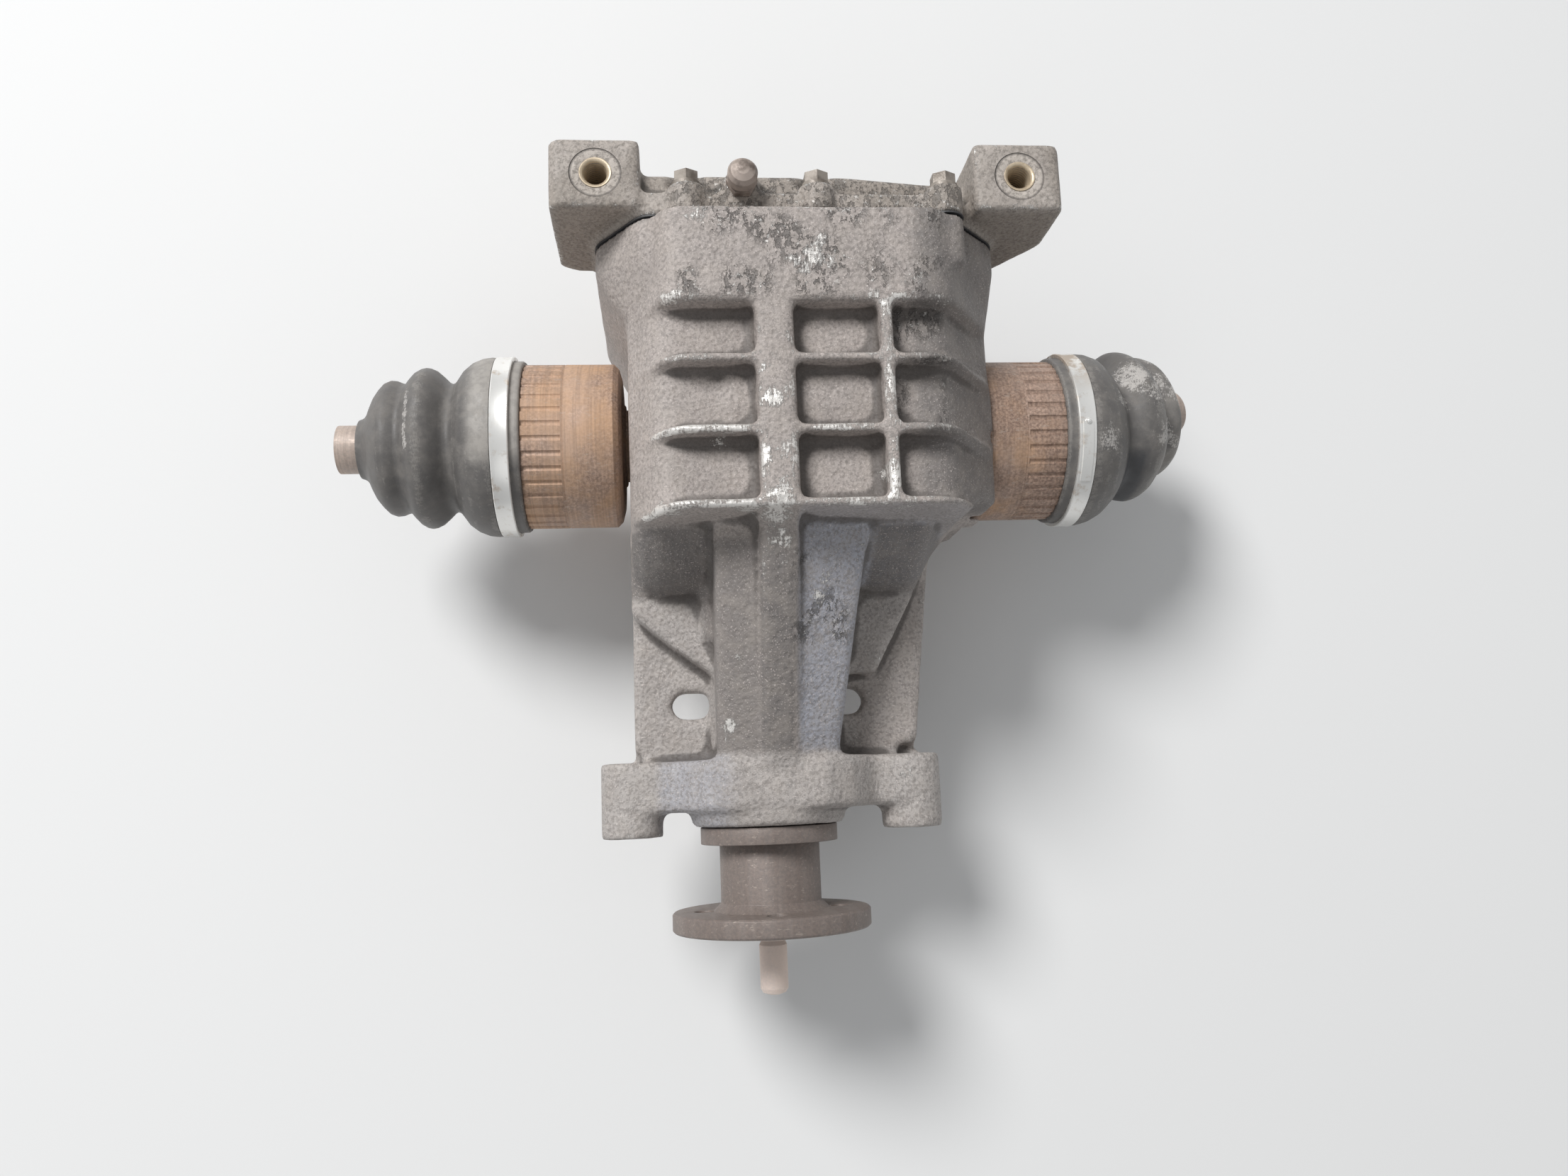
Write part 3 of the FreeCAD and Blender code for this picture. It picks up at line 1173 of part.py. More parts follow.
def joint_nodes():
    spline_length = side_hub_end - stub_end + 1.0
    journal_length = 13.0
    left_stub = left_joint_back + spider_centre - stub_end
    right_stub = right_joint_back - spider_centre - stub_end
    left_housing = from_back(joint_housing(left_stub, spline_length, journal_length))
    right_housing = from_back(joint_housing(right_stub, spline_length, journal_length))
    clip = circlip()
    rollers = tripod_rollers()
    return {
        "joint_housing_left": on_left(left_housing), "joint_housing_right": on_right(right_housing),
        "stub_circlip_left": about_pin(clip.mirror(ORIGIN, EX)), "stub_circlip_right": about_pin(clip),
        "boot_clamp_left": on_left(boot_clamp()), "boot_clamp_right": on_right(boot_clamp()),
        "boot_left": on_left(boot(boot_length, 0.0, 0.0)),
        "boot_right": on_right(boot(boot_length, right_yaw, right_pitch)),
        "half_shaft_left": on_left(half_shaft(left_shaft_length)),
        "half_shaft_right": on_right(leaning(half_shaft(right_shaft_length))),
        "tripod_left": on_left(tripod()), "tripod_right": on_right(leaning(tripod())),
        "tripod_rollers_left": [on_left(roller) for roller in rollers],
        "tripod_rollers_right": [on_right(leaning(roller)) for roller in rollers],
        "tripod_ring_left": on_left(retaining_ring()), "tripod_ring_right": on_right(leaning(retaining_ring()))}


def write(node, shape):
    """Write one node, moved so that the companion flange's centre is the origin."""
    moved = Part.makeCompound(shape) if isinstance(shape, list) else shape.copy()
    if len(moved.Solids) == 1:
        moved = moved.Solids[0]
    moved.translate(V(0, flange_to_axle, 0))
    moved.exportStep(f"parts/{node}.step")
    print(f"{node}: {len(moved.Solids)} solids, {moved.Volume / 1000:.2f} cm3, valid {moved.isValid()}")


os.makedirs("parts", exist_ok=True)
for nodes in (casing_nodes(), pinion_nodes(), carrier_nodes(), joint_nodes()):
    for node, shape in nodes.items():
        write(node, shape)
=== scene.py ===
# %% [markdown]
# # A used rear differential
# The CAD model gives every piece its size, place and motion. This file adds what the eye needs: the
# rough sand-cast skin of the housing, scuffed ribs, rusty joint housings, bright band clamps and dusty
# rubber boots. The CAD nodes whose shape is already right only get a finish; the others are hidden, and
# a finer piece stands for them.

# %% Load the frame
import json
import math

import bmesh
import bpy
import numpy as np
from mathutils import Euler, Matrix, Vector, noise


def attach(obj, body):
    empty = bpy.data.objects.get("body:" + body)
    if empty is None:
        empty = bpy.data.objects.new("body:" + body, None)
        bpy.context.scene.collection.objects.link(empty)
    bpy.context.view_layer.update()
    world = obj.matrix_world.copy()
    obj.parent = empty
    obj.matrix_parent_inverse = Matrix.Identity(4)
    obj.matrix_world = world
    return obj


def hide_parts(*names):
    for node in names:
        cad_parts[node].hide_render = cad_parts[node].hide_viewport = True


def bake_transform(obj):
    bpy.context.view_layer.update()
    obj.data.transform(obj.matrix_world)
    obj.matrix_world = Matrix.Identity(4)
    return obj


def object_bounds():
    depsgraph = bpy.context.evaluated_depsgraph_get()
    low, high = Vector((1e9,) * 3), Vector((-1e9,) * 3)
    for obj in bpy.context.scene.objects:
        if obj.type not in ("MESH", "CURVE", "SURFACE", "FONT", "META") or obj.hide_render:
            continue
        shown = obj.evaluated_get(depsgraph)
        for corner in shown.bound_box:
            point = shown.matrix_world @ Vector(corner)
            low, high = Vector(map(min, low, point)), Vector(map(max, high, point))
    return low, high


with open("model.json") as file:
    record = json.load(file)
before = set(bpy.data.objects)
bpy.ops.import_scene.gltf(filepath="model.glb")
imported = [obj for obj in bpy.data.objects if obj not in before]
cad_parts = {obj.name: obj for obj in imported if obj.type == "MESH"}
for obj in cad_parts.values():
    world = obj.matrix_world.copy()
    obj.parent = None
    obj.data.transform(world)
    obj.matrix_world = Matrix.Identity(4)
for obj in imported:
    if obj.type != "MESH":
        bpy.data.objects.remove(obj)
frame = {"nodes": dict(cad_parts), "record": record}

cad_low, cad_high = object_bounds()
MM = 0.001
axle = Vector((0.0, 252 * MM, 0.0))
print("CAD box in mm:", [round(v / MM, 1) for v in (*cad_low, *cad_high)])

# %% [markdown]
# ## Camera
# The photograph was taken from above and a little ahead of the nose, about 0.6 m from the axle, so
# the camera looks almost straight down. A phone's wide lens gives the strong perspective: the ears look
# larger than the joints under them. The three directions below are made square to each other first.

# %% Camera at the photograph's viewpoint
photo_lens = 27.03
camera_place = Vector((-0.047, 0.072, 0.612))
looking = Vector((0.0958, 0.1628, -0.9820)).normalized()
to_the_right = Vector((0.9951, -0.0394, 0.0905))
to_the_right = (to_the_right - looking * to_the_right.dot(looking)).normalized()
upwards = to_the_right.cross(looking)

camera_data = bpy.data.cameras.new("photo_camera")
camera_data.sensor_width = 36.0
camera_data.lens = photo_lens
camera_data.clip_start = 0.01
camera_data.clip_end = 30.0
camera = bpy.data.objects.new("photo_camera", camera_data)
camera.matrix_world = (Matrix.Translation(camera_place)
                       @ Matrix((to_the_right, upwards, -looking)).transposed().to_4x4())
bpy.context.scene.collection.objects.link(camera)
bpy.context.scene.camera = camera
print("camera is", round((camera_place - axle).length, 3), "m from the axle line's middle")

# %% [markdown]
# ## Node helpers
# A material is a small network of nodes. These helpers add one node each and wire it, so that the
# recipes below read like recipes. A value that is a socket is linked, and any other is typed in.

# %% Helpers for node trees


def feed(tree, socket, value):
    if isinstance(value, bpy.types.NodeSocket):
        tree.links.new(value, socket)
    elif value is not None:
        socket.default_value = value


def calculate(tree, operation, first, second=None):
    step = tree.nodes.new("ShaderNodeMath")
    step.operation = operation
    feed(tree, step.inputs[0], first)
    feed(tree, step.inputs[1], second)
    return step.outputs[0]


def times(tree, first, second):
    return calculate(tree, "MULTIPLY", first, second)


def plus(tree, first, second):
    return calculate(tree, "ADD", first, second)


def minus(tree, first, second):
    return calculate(tree, "SUBTRACT", first, second)


def between(tree, value, low, high, bottom=0.0, top=1.0):
    """Smooth step: bottom below low, top above high."""
    step = tree.nodes.new("ShaderNodeMapRange")
    step.interpolation_type = "SMOOTHSTEP"
    for name, setting in (("Value", value), ("From Min", low), ("From Max", high),
                          ("To Min", bottom), ("To Max", top)):
        feed(tree, step.inputs[name], setting)
    return step.outputs["Result"]


def coat(tree, mask, under, over, share=None):
    """One colour laid over another where the mask is white; a share makes the upper one thinner."""
    if share is not None:
        mask = times(tree, mask, share)
    mix = tree.nodes.new("ShaderNodeMix")
    mix.data_type = "RGBA"
    feed(tree, mix.inputs[0], mask)
    for socket, colour in ((mix.inputs[6], under), (mix.inputs[7], over)):
        feed(tree, socket, colour if isinstance(colour, bpy.types.NodeSocket) else (*colour, 1.0))
    return mix.outputs[2]


def cloud(tree, where, scale, detail=3.0, rough=0.55, stretch=None):
    """Fractal noise around 0.5, its scale in features per metre."""
    if stretch:
        squeeze = tree.nodes.new("ShaderNodeMapping")
        squeeze.inputs["Scale"].default_value = stretch
        feed(tree, squeeze.inputs["Vector"], where)
        where = squeeze.outputs["Vector"]
    texture = tree.nodes.new("ShaderNodeTexNoise")
    for name, setting in (("Vector", where), ("Scale", scale), ("Detail", detail), ("Roughness", rough)):
        feed(tree, texture.inputs[name], setting)
    return texture.outputs[0]


def pits(tree, where, scale):
    texture = tree.nodes.new("ShaderNodeTexVoronoi")
    feed(tree, texture.inputs["Vector"], where)
    feed(tree, texture.inputs["Scale"], scale)
    return texture.outputs["Distance"]


def painted(tree, name):
    """A value that was painted on the mesh by its maker, zero where the mesh has none."""
    reader = tree.nodes.new("ShaderNodeAttribute")
    reader.attribute_name = name
    return reader.outputs["Fac"]


def object_place(tree):
    return tree.nodes.new("ShaderNodeTexCoord").outputs["Object"]


def parts_of(tree, vector):
    """The X, Y and Z of a direction or a place, each by its name."""
    split = tree.nodes.new("ShaderNodeSeparateXYZ")
    feed(tree, split.inputs[0], vector)
    return split.outputs


def object_facing(tree):
    """How far a surface looks up, from -1 to 1, in the object's own frame."""
    return parts_of(tree, tree.nodes.new("ShaderNodeTexCoord").outputs["Normal"])["Z"]


# %% [markdown]
# ## Shared effects
# Casting grain, worn edges, settled dirt with painted shade, and rust come back on many pieces, so each is a
# node group with named inputs and outputs. A group gives out only colours, masks and heights. The shaders stay
# in the materials.

# %% Group helper


def new_group(name, inputs, outputs):
    group = bpy.data.node_groups.new(name, "ShaderNodeTree")
    for title, kind, default in inputs:
        socket = group.interface.new_socket(name=title, in_out="INPUT", socket_type=kind)
        if default is not None:
            socket.default_value = default
    for title, kind in outputs:
        group.interface.new_socket(name=title, in_out="OUTPUT", socket_type=kind)
    given = group.nodes.new("NodeGroupInput")
    result = group.nodes.new("NodeGroupOutput")
    return group, given.outputs, result.inputs


def use(tree, group, **values):
    holder = tree.nodes.new("ShaderNodeGroup")
    holder.node_tree = group
    for name, value in values.items():
        feed(tree, holder.inputs[name.replace("_", " ")], value)
    return holder.outputs


NUMBER, VECTOR, COLOUR = "NodeSocketFloat", "NodeSocketVector", "NodeSocketColor"

# %% [markdown]
# ### Casting grain
# Sand leaves its print on a casting: grains of under 2 mm, small dimples, and slow waves where the mould
# gave way. One noise, one Voronoi pattern and one wide noise are added up. Displaced geometry would need
# millions of faces for the same grain, so it is a height for the Bump node.

# %% Casting grain: the print of the sand mould
cast_grain, given, result = new_group(
    "cast_grain", [("Place", VECTOR, None), ("Fineness", NUMBER, 900.0)],
    [("Height", NUMBER), ("Speckle", NUMBER)])
tree, place = cast_grain, given["Place"]
sand = cloud(tree, place, given["Fineness"], 4.0, 0.65)
dimples = between(tree, pits(tree, place, times(tree, given["Fineness"], 0.45)), 0.1, 0.55)
waves = cloud(tree, place, 160.0, 2.0)
height = plus(tree, times(tree, sand, 0.6), times(tree, dimples, 0.4))
feed(tree, result["Height"], plus(tree, height, times(tree, waves, 0.22)))
feed(tree, result["Speckle"], between(tree, sand, 0.46, 0.60))

# %% [markdown]
# ### Worn edges
# Metal shines where a part was dragged, but never in a clean stripe. Three noises, wide, ragged and
# scratchy, are stretched in contrast and added to a painted edge value. Only what is above a threshold
# is worn, so the border is torn.

# %% Worn edges: bare metal where things have rubbed
worn_edges, given, result = new_group(
    "worn_edges", [("Edge", NUMBER, 0.0), ("Place", VECTOR, None), ("Reach", NUMBER, 0.5)],
    [("Mask", NUMBER)])
tree, place = worn_edges, given["Place"]
noise_middle, noise_contrast, wear_threshold = 0.95, 2.4, 1.15
ragged = cloud(tree, place, 300.0, 5.0, 0.75, stretch=(0.55, 1.3, 1.0))
patchy = cloud(tree, place, 75.0, 2.0)
scratches = cloud(tree, place, 1000.0, 3.0, 0.7, stretch=(1.0, 0.25, 0.6))
torn = plus(tree, plus(tree, times(tree, ragged, 0.7), times(tree, patchy, 0.5)), times(tree, scratches, 0.7))
torn = times(tree, minus(tree, torn, noise_middle), noise_contrast)
level = plus(tree, minus(tree, plus(tree, given["Edge"], torn), wear_threshold), given["Reach"])
near_an_edge = between(tree, given["Edge"], 0.04, 0.2)
feed(tree, result["Mask"], times(tree, between(tree, level, 0.0, 0.34), near_an_edge))

# %% [markdown]
# ### Settled dirt and painted shade
# Old oil holds road dirt in the corners, and the darkening in the hollows is also painted shade. Dust lies on
# what looks up. The hollow value is painted on each mesh from its shape, and the facing comes from the surface
# normal in the object's own frame, so the dirt and the painted shade stay in place when the piece turns.

# %% Settled dirt and painted shade: dust on faces that look up, old oil and painted shade in hollows
dirt_and_hollow_shade, given, result = new_group(
    "dirt_and_hollow_shade", [("Hollow", NUMBER, 0.0), ("Facing", NUMBER, 0.0), ("Place", VECTOR, None)],
    [("Grime_and_shade", NUMBER), ("Dust", NUMBER)])
tree, place = dirt_and_hollow_shade, given["Place"]
streaks = cloud(tree, place, 34.0, 5.0, 0.6)
# hollows darken with old oil dirt and with painted shade
feed(tree, result["Grime_and_shade"], between(tree, plus(tree, given["Hollow"], streaks), 0.85, 1.5))
film = cloud(tree, place, 90.0, 5.0, 0.7)
looks_up = between(tree, given["Facing"], -0.2, 0.9)
feed(tree, result["Dust"], times(tree, looks_up, between(tree, film, 0.38, 0.68)))

# %% [markdown]
# ### Rust bloom
# Rust on turned steel is dark scale under brown crumbs, with an orange bloom in wide blotches. The
# crumbs are also its height. An amount says how far the bloom has spread.

# %% Rust bloom: dark scale, brown rust and orange bloom in layers
dark_scale, brown_rust, orange_bloom = (0.25, 0.165, 0.125), (0.57, 0.395, 0.30), (0.68, 0.43, 0.26)
rust_bloom, given, result = new_group(
    "rust_bloom", [("Place", VECTOR, None), ("Amount", NUMBER, 0.5)],
    [("Color", COLOUR), ("Bloom", NUMBER), ("Height", NUMBER)])
tree, place = rust_bloom, given["Place"]
blotch = cloud(tree, place, 38.0, 4.0, 0.62)
crumbs = cloud(tree, place, 700.0, 4.0, 0.7)
bloom = between(tree, plus(tree, blotch, times(tree, given["Amount"], 0.5)), 0.62, 0.95)
base = coat(tree, between(tree, crumbs, 0.35, 0.65), dark_scale, brown_rust)
feed(tree, result["Color"], coat(tree, bloom, base, orange_bloom, share=0.75))
feed(tree, result["Bloom"], bloom)
feed(tree, result["Height"], crumbs)
print("node groups:", [group.name for group in bpy.data.node_groups])

# %% [markdown]
# ## Finishes
# Each finish below is one material with one shader. The colour is built up like paint, coat over coat,
# each with its own mask, and the relief goes through a Bump node. A finish reads Object coordinates, so
# its pattern stays with the piece.

# %% A blank material with one shader


def blank(name, metallic=0.0, roughness=0.5):
    material = bpy.data.materials.new(name)
    material.use_nodes = True
    tree = material.node_tree
    shader = tree.nodes["Principled BSDF"]
    shader.inputs["Metallic"].default_value = metallic
    shader.inputs["Roughness"].default_value = roughness
    return material, tree, shader.inputs


def emboss(tree, sockets, height, depth, strength=1.0):
    bump = tree.nodes.new("ShaderNodeBump")
    bump.inputs["Strength"].default_value = strength
    bump.inputs["Distance"].default_value = depth
    feed(tree, bump.inputs["Height"], height)
    feed(tree, sockets["Normal"], bump.outputs["Normal"])


# %% [markdown]
# ### Cast alloy
# The housing and the cover are a dull grey skin, darker and browner where road dirt and painted shade sit in
# the hollows, with bare bright metal on the rubbed rib tops, tiny painted glints, some paler places that are
# partly painted light, and painted shade, partly bluish, on some faces. Salt has eaten some patches rough: dark
# flakes with bright chips, which are partly painted highlights.
# The tops of the cover's ears are milled round their holes. All of these are masks over one skin, so
# that the two castings can share the finish and differ only in their values.

# %% Cast alloy
bluish_shade_skin, painted_shade_skin = (0.42, 0.435, 0.495), (0.150, 0.140, 0.136)
road_dust, eaten_black, bare_alloy = (0.47, 0.415, 0.365), (0.09, 0.082, 0.077), (0.88, 0.85, 0.81)
milled_alloy, milled_rim = (0.62, 0.56, 0.50), (0.12, 0.105, 0.095)
milled_radius = 12.6


def shade(colour, share):
    return tuple(min(1.0, share * part) for part in colour)


def spot_faces(tree, where, centres, radius):
    """How far inside a round milled face a point is, in metres, for upright holes at some centres."""
    nearest = None
    for x, y in centres:
        flat = tree.nodes.new("ShaderNodeVectorMath")
        flat.operation = "MULTIPLY"
        feed(tree, flat.inputs[0], where)
        flat.inputs[1].default_value = (1.0, 1.0, 0.0)
        gap = tree.nodes.new("ShaderNodeVectorMath")
        gap.operation = "DISTANCE"
        feed(tree, gap.inputs[0], flat.outputs["Vector"])
        gap.inputs[1].default_value = (x * MM, y * MM, 0.0)
        gap = gap.outputs["Value"]
        nearest = gap if nearest is None else calculate(tree, "MINIMUM", nearest, gap)
    return minus(tree, radius * MM, nearest)


def cast_alloy(name, skin, pale_skin, grime_and_shade_colour, reach, faced=()):
    """Cast skin; its maker paints where it is paler, partly as painted light, where painted shade makes it
    bluer or darker, and where it is eaten rough or scuffed.
    """
    material, tree, sockets = blank(name)
    where = object_place(tree)
    grain = use(tree, cast_grain, Place=where, Fineness=620.0)
    worn = use(tree, worn_edges, Edge=painted(tree, "edge"), Place=where, Reach=reach)["Mask"]
    dirt_and_shade = use(tree, dirt_and_hollow_shade, Hollow=painted(tree, "hollow"), Facing=object_facing(tree), Place=where)
    scuff = use(tree, worn_edges, Edge=painted(tree, "scuff"), Place=where, Reach=0.6)["Mask"]
    crust = cloud(tree, where, 210.0, 4.0, 0.75, stretch=(1.3, 0.8, 1.0))
    flakes = times(tree, painted(tree, "rough"), between(tree, crust, 0.505, 0.56))
    crumbs = cloud(tree, where, 330.0, 3.0, 0.7)
    # bright chips in the eaten patches: bare metal, partly painted highlights
    chips_and_highlights = times(tree, painted(tree, "rough"), between(tree, crumbs, 0.60, 0.66))
    stains = between(tree, cloud(tree, where, 26.0, 5.0, 0.65), 0.42, 0.66)
    mottle = between(tree, cloud(tree, where, 150.0, 5.0, 0.75), 0.38, 0.62)
    # painted glints: tiny painted highlights
    painted_glints = between(tree, cloud(tree, where, 1250.0, 2.0, 0.6), 0.60, 0.68)
    colour = coat(tree, painted(tree, "pale"), skin, pale_skin)
    # painted bluish shade where the maker painted it
    colour = coat(tree, painted(tree, "bluish_shade"), colour, bluish_shade_skin)
    # painted shade where the maker painted it
    colour = coat(tree, painted(tree, "painted_shade"), colour, painted_shade_skin)
    colour = coat(tree, stains, colour, shade(skin, 0.55), share=0.25)
    colour = coat(tree, mottle, colour, shade(skin, 0.5), share=0.22)
    colour = coat(tree, grain["Speckle"], colour, shade(skin, 0.42), share=0.55)
    colour = coat(tree, painted_glints, colour, shade(skin, 1.75), share=0.5)
    colour = coat(tree, dirt_and_shade["Dust"], colour, road_dust, share=0.25)
    # grime in the hollows: old oil dirt and painted shade
    colour = coat(tree, dirt_and_shade["Grime_and_shade"], colour, grime_and_shade_colour, share=0.8)
    colour = coat(tree, flakes, colour, eaten_black, share=0.7)
    # bare metal from wear and scuffs, plus chips that are partly painted highlights
    bare_and_highlights = calculate(tree, "MAXIMUM", calculate(tree, "MAXIMUM", worn, scuff), times(tree, chips_and_highlights, 0.8))
    colour = coat(tree, bare_and_highlights, colour, bare_alloy, share=0.9)
    relief = plus(tree, grain["Height"], times(tree, flakes, -1.2))
    relief = plus(tree, relief, times(tree, bare_and_highlights, 0.6))
    if faced:
        inside = spot_faces(tree, where, faced, milled_radius)
        looks_up = between(tree, object_facing(tree), 0.7, 0.9)
        milled = times(tree, between(tree, inside, 0.0, 0.5 * MM), looks_up)
        rim = times(tree, milled, between(tree, inside, 1.6 * MM, 0.6 * MM))
        cleaned = times(tree, milled, between(tree, grain["Speckle"], 0.0, 1.0, 0.5, 0.1))
        colour = coat(tree, cleaned, colour, milled_alloy)
        colour = coat(tree, rim, colour, milled_rim, share=0.75)
        relief = minus(tree, relief, times(tree, milled, 1.6))
    feed(tree, sockets["Base Color"], colour)
    feed(tree, sockets["Metallic"], times(tree, bare_and_highlights, 0.35))
    feed(tree, sockets["Roughness"], between(tree, bare_and_highlights, 0.0, 1.0, 0.58, 0.38))
    emboss(tree, sockets, relief, 0.75 * MM, 0.9)
    return material


ear_centres = ((-78.0, 361.0), (128.5, 361.0))
housing_skin = cast_alloy(
    "housing_cast_skin", (0.475, 0.423, 0.394), (0.51, 0.475, 0.45), (0.10, 0.088, 0.08), 0.50)
cover_skin = cast_alloy(
    "cover_cast_skin", (0.37, 0.325, 0.285), (0.50, 0.45, 0.41), (0.09, 0.08, 0.07), 0.52, ear_centres)

# %% [markdown]
# ### Rusty turned steel
# The joint housings were turned on a lathe and have rusted since. Fine rings still show under the rust,
# so a noise is stretched until it runs round the X axis. A pale film of dust lies over the brown, and
# spots that were touched are rubbed lighter.

# %% Rusty turned steel
pale_film, ring_shadow, rubbed_steel = (0.58, 0.44, 0.37), (0.15, 0.11, 0.092), (0.64, 0.55, 0.48)


def rusty_steel(name, amount, rings, steel, rust_share, film=0.0):
    """Rust over turning marks, which run round the X axis, with a film of pale dust."""
    material, tree, sockets = blank(name)
    where = object_place(tree)
    rust = use(tree, rust_bloom, Place=where, Amount=amount)
    marks = cloud(tree, where, 900.0, 2.0, 0.5, stretch=(rings, 0.02, 0.02))
    rubbed = between(tree, cloud(tree, where, 420.0, 4.0, 0.75, stretch=(0.4, 1.2, 1.2)), 0.58, 0.66)
    patches = between(tree, cloud(tree, where, 30.0, 3.0, 0.5), 0.4, 0.65)
    colour = coat(tree, rust_share, steel, rust["Color"])
    colour = coat(tree, patches, colour, pale_film, share=film)
    colour = coat(tree, between(tree, marks, 0.35, 0.65), colour, ring_shadow, share=0.25)
    colour = coat(tree, rubbed, colour, rubbed_steel, share=0.35)
    feed(tree, sockets["Base Color"], colour)
    feed(tree, sockets["Metallic"], plus(tree, 0.15, times(tree, rubbed, 0.3)))
    feed(tree, sockets["Roughness"], between(tree, rust["Bloom"], 0.0, 1.0, 0.52, 0.78))
    relief = plus(tree, times(tree, rust["Height"], 0.6), times(tree, marks, 0.4))
    emboss(tree, sockets, relief, 0.22 * MM, 0.8)
    return material


joint_rust_left = rusty_steel("joint_rust_left", 0.60, 1.0, (0.22, 0.16, 0.125), 0.92, film=0.33)
joint_rust_right = rusty_steel("joint_rust_right", 0.36, 1.0, (0.25, 0.165, 0.13), 0.86, film=0.35)
flange_steel = rusty_steel("flange_dark_steel", 0.0, 0.3, (0.205, 0.185, 0.175), 0.18)
shaft_steel = rusty_steel("sawn_shaft_steel", 0.4, 1.0, (0.56, 0.49, 0.44), 0.35)
print("made", [material.name for material in bpy.data.materials])

# %% [markdown]
# ### Bare, oiled and plated steels
# Bolts, bearings, gears and washers are clean metal under a thin film of oil. They differ only in
# colour, polish and stain, so one recipe makes them all: fine scratches change the roughness, and a
# cloudy stain lies over the colour.

# %% Bare, oiled and plated steels


def machined(name, colour, roughness, stain, stain_share, metallic=0.9):
    """Cut or ground steel with a thin oil stain."""
    material, tree, sockets = blank(name, metallic)
    where = object_place(tree)
    film = between(tree, cloud(tree, where, 110.0, 4.0, 0.6), 0.42, 0.72)
    feed(tree, sockets["Base Color"], coat(tree, film, colour, stain, share=stain_share))
    scratch = cloud(tree, where, 1500.0, 2.0, 0.5)
    feed(tree, sockets["Roughness"], between(tree, scratch, 0.3, 0.7, roughness - 0.08, roughness + 0.12))
    emboss(tree, sockets, scratch, 0.04 * MM, 0.5)
    return material


finishes = {
    "zinc_bolts": machined("zinc_plate", (0.36, 0.32, 0.28), 0.5, (0.13, 0.105, 0.085), 0.85, 0.3),
    "bearing_steel": machined("bearing_steel", (0.62, 0.62, 0.63), 0.22, (0.35, 0.30, 0.22), 0.4),
    "gear_steel": machined("gear_steel", (0.40, 0.40, 0.41), 0.3, (0.20, 0.16, 0.11), 0.5),
    "case_iron": machined("case_iron", (0.16, 0.155, 0.15), 0.5, (0.08, 0.07, 0.055), 0.6, 0.5),
    "washer_steel": machined("washer_steel", (0.50, 0.48, 0.44), 0.35, (0.25, 0.2, 0.14), 0.5),
    "dark_steel": flange_steel,
    "rusty_steel": shaft_steel,
    "breather_metal": machined("breather_plating", (0.50, 0.42, 0.37), 0.5, (0.10, 0.075, 0.06), 0.85, 0.3),
}

# %% [markdown]
# ### The pinion shaft
# Its end stands out of the flange as a pin, which has rusted to a pale, dusty brown. The rest runs in
# oil and is bright. The place along the shaft decides between the two, just inside the flange.

# %% The pinion shaft: bright inside, rusty on the pin that stands out of the flange
pin_dust, oiled_steel = (0.98, 0.86, 0.79), (0.38, 0.37, 0.36)
pinion_steel, tree, sockets = blank("pinion_steel", 0.6, 0.4)
where = object_place(tree)
inside = between(tree, parts_of(tree, where)["Y"], -2 * MM, 6 * MM)
rust = use(tree, rust_bloom, Place=where, Amount=0.55)
rusty_pin = coat(tree, 0.75, rust["Color"], pin_dust)
feed(tree, sockets["Base Color"], coat(tree, inside, rusty_pin, oiled_steel))
feed(tree, sockets["Metallic"], between(tree, inside, 0.0, 1.0, 0.15, 0.9))
feed(tree, sockets["Roughness"], between(tree, inside, 0.0, 1.0, 0.72, 0.3))
emboss(tree, sockets, rust["Height"], 0.25 * MM, 0.8)

# %% [markdown]
# ### Bright band steel
# The boot clamps are stainless bands, still bright, with a few smears of rust water. The right clamp is
# smeared brown over its upper part, behind the shaft, so that place gets a second mask.

# %% Bright band steel
bright_band, rust_water = (0.93, 0.92, 0.89), (0.46, 0.35, 0.25)
band_steel, tree, sockets = blank("band_steel", 0.5, 0.3)
where = object_place(tree)
smear = between(tree, cloud(tree, where, 130.0, 4.0, 0.65), 0.52, 0.75)
along_x, along_y = parts_of(tree, where)["X"], parts_of(tree, where)["Y"]
high_right = times(tree, between(tree, along_y, 0.262, 0.285), between(tree, along_x, 0.0, 0.01))
rubbed_in = times(tree, high_right, between(tree, cloud(tree, where, 95.0, 4.0, 0.65), 0.36, 0.56))
smear = calculate(tree, "MAXIMUM", smear, rubbed_in)
feed(tree, sockets["Base Color"], coat(tree, smear, bright_band, rust_water, share=0.75))
feed(tree, sockets["Roughness"], between(tree, smear, 0.0, 1.0, 0.28, 0.6))
emboss(tree, sockets, cloud(tree, where, 1200.0, 2.0, 0.5, stretch=(1.0, 0.1, 0.1)), 0.03 * MM, 0.5)
finishes["band_steel"] = band_steel

# %% [markdown]
# ### Dusty rubber
# A used boot is never plain black. Dust greys what looks up, painted shade darkens a low fold, and the crests
# of its folds are scuffed. Chalky dust with a painted sheen lies on one shoulder, and some scuffs are partly
# painted highlights. The seals and the gasket are the same recipe with a blacker base.

# %% Dusty rubber
dust_film, chalk_and_sheen, fold_shade_black = (0.27, 0.25, 0.228), (0.46, 0.43, 0.395), (0.05, 0.052, 0.058)
worn_rubber, scuff_and_highlight_rubber = (0.34, 0.32, 0.295), (0.58, 0.55, 0.52)
finer_scuffs = 2.2


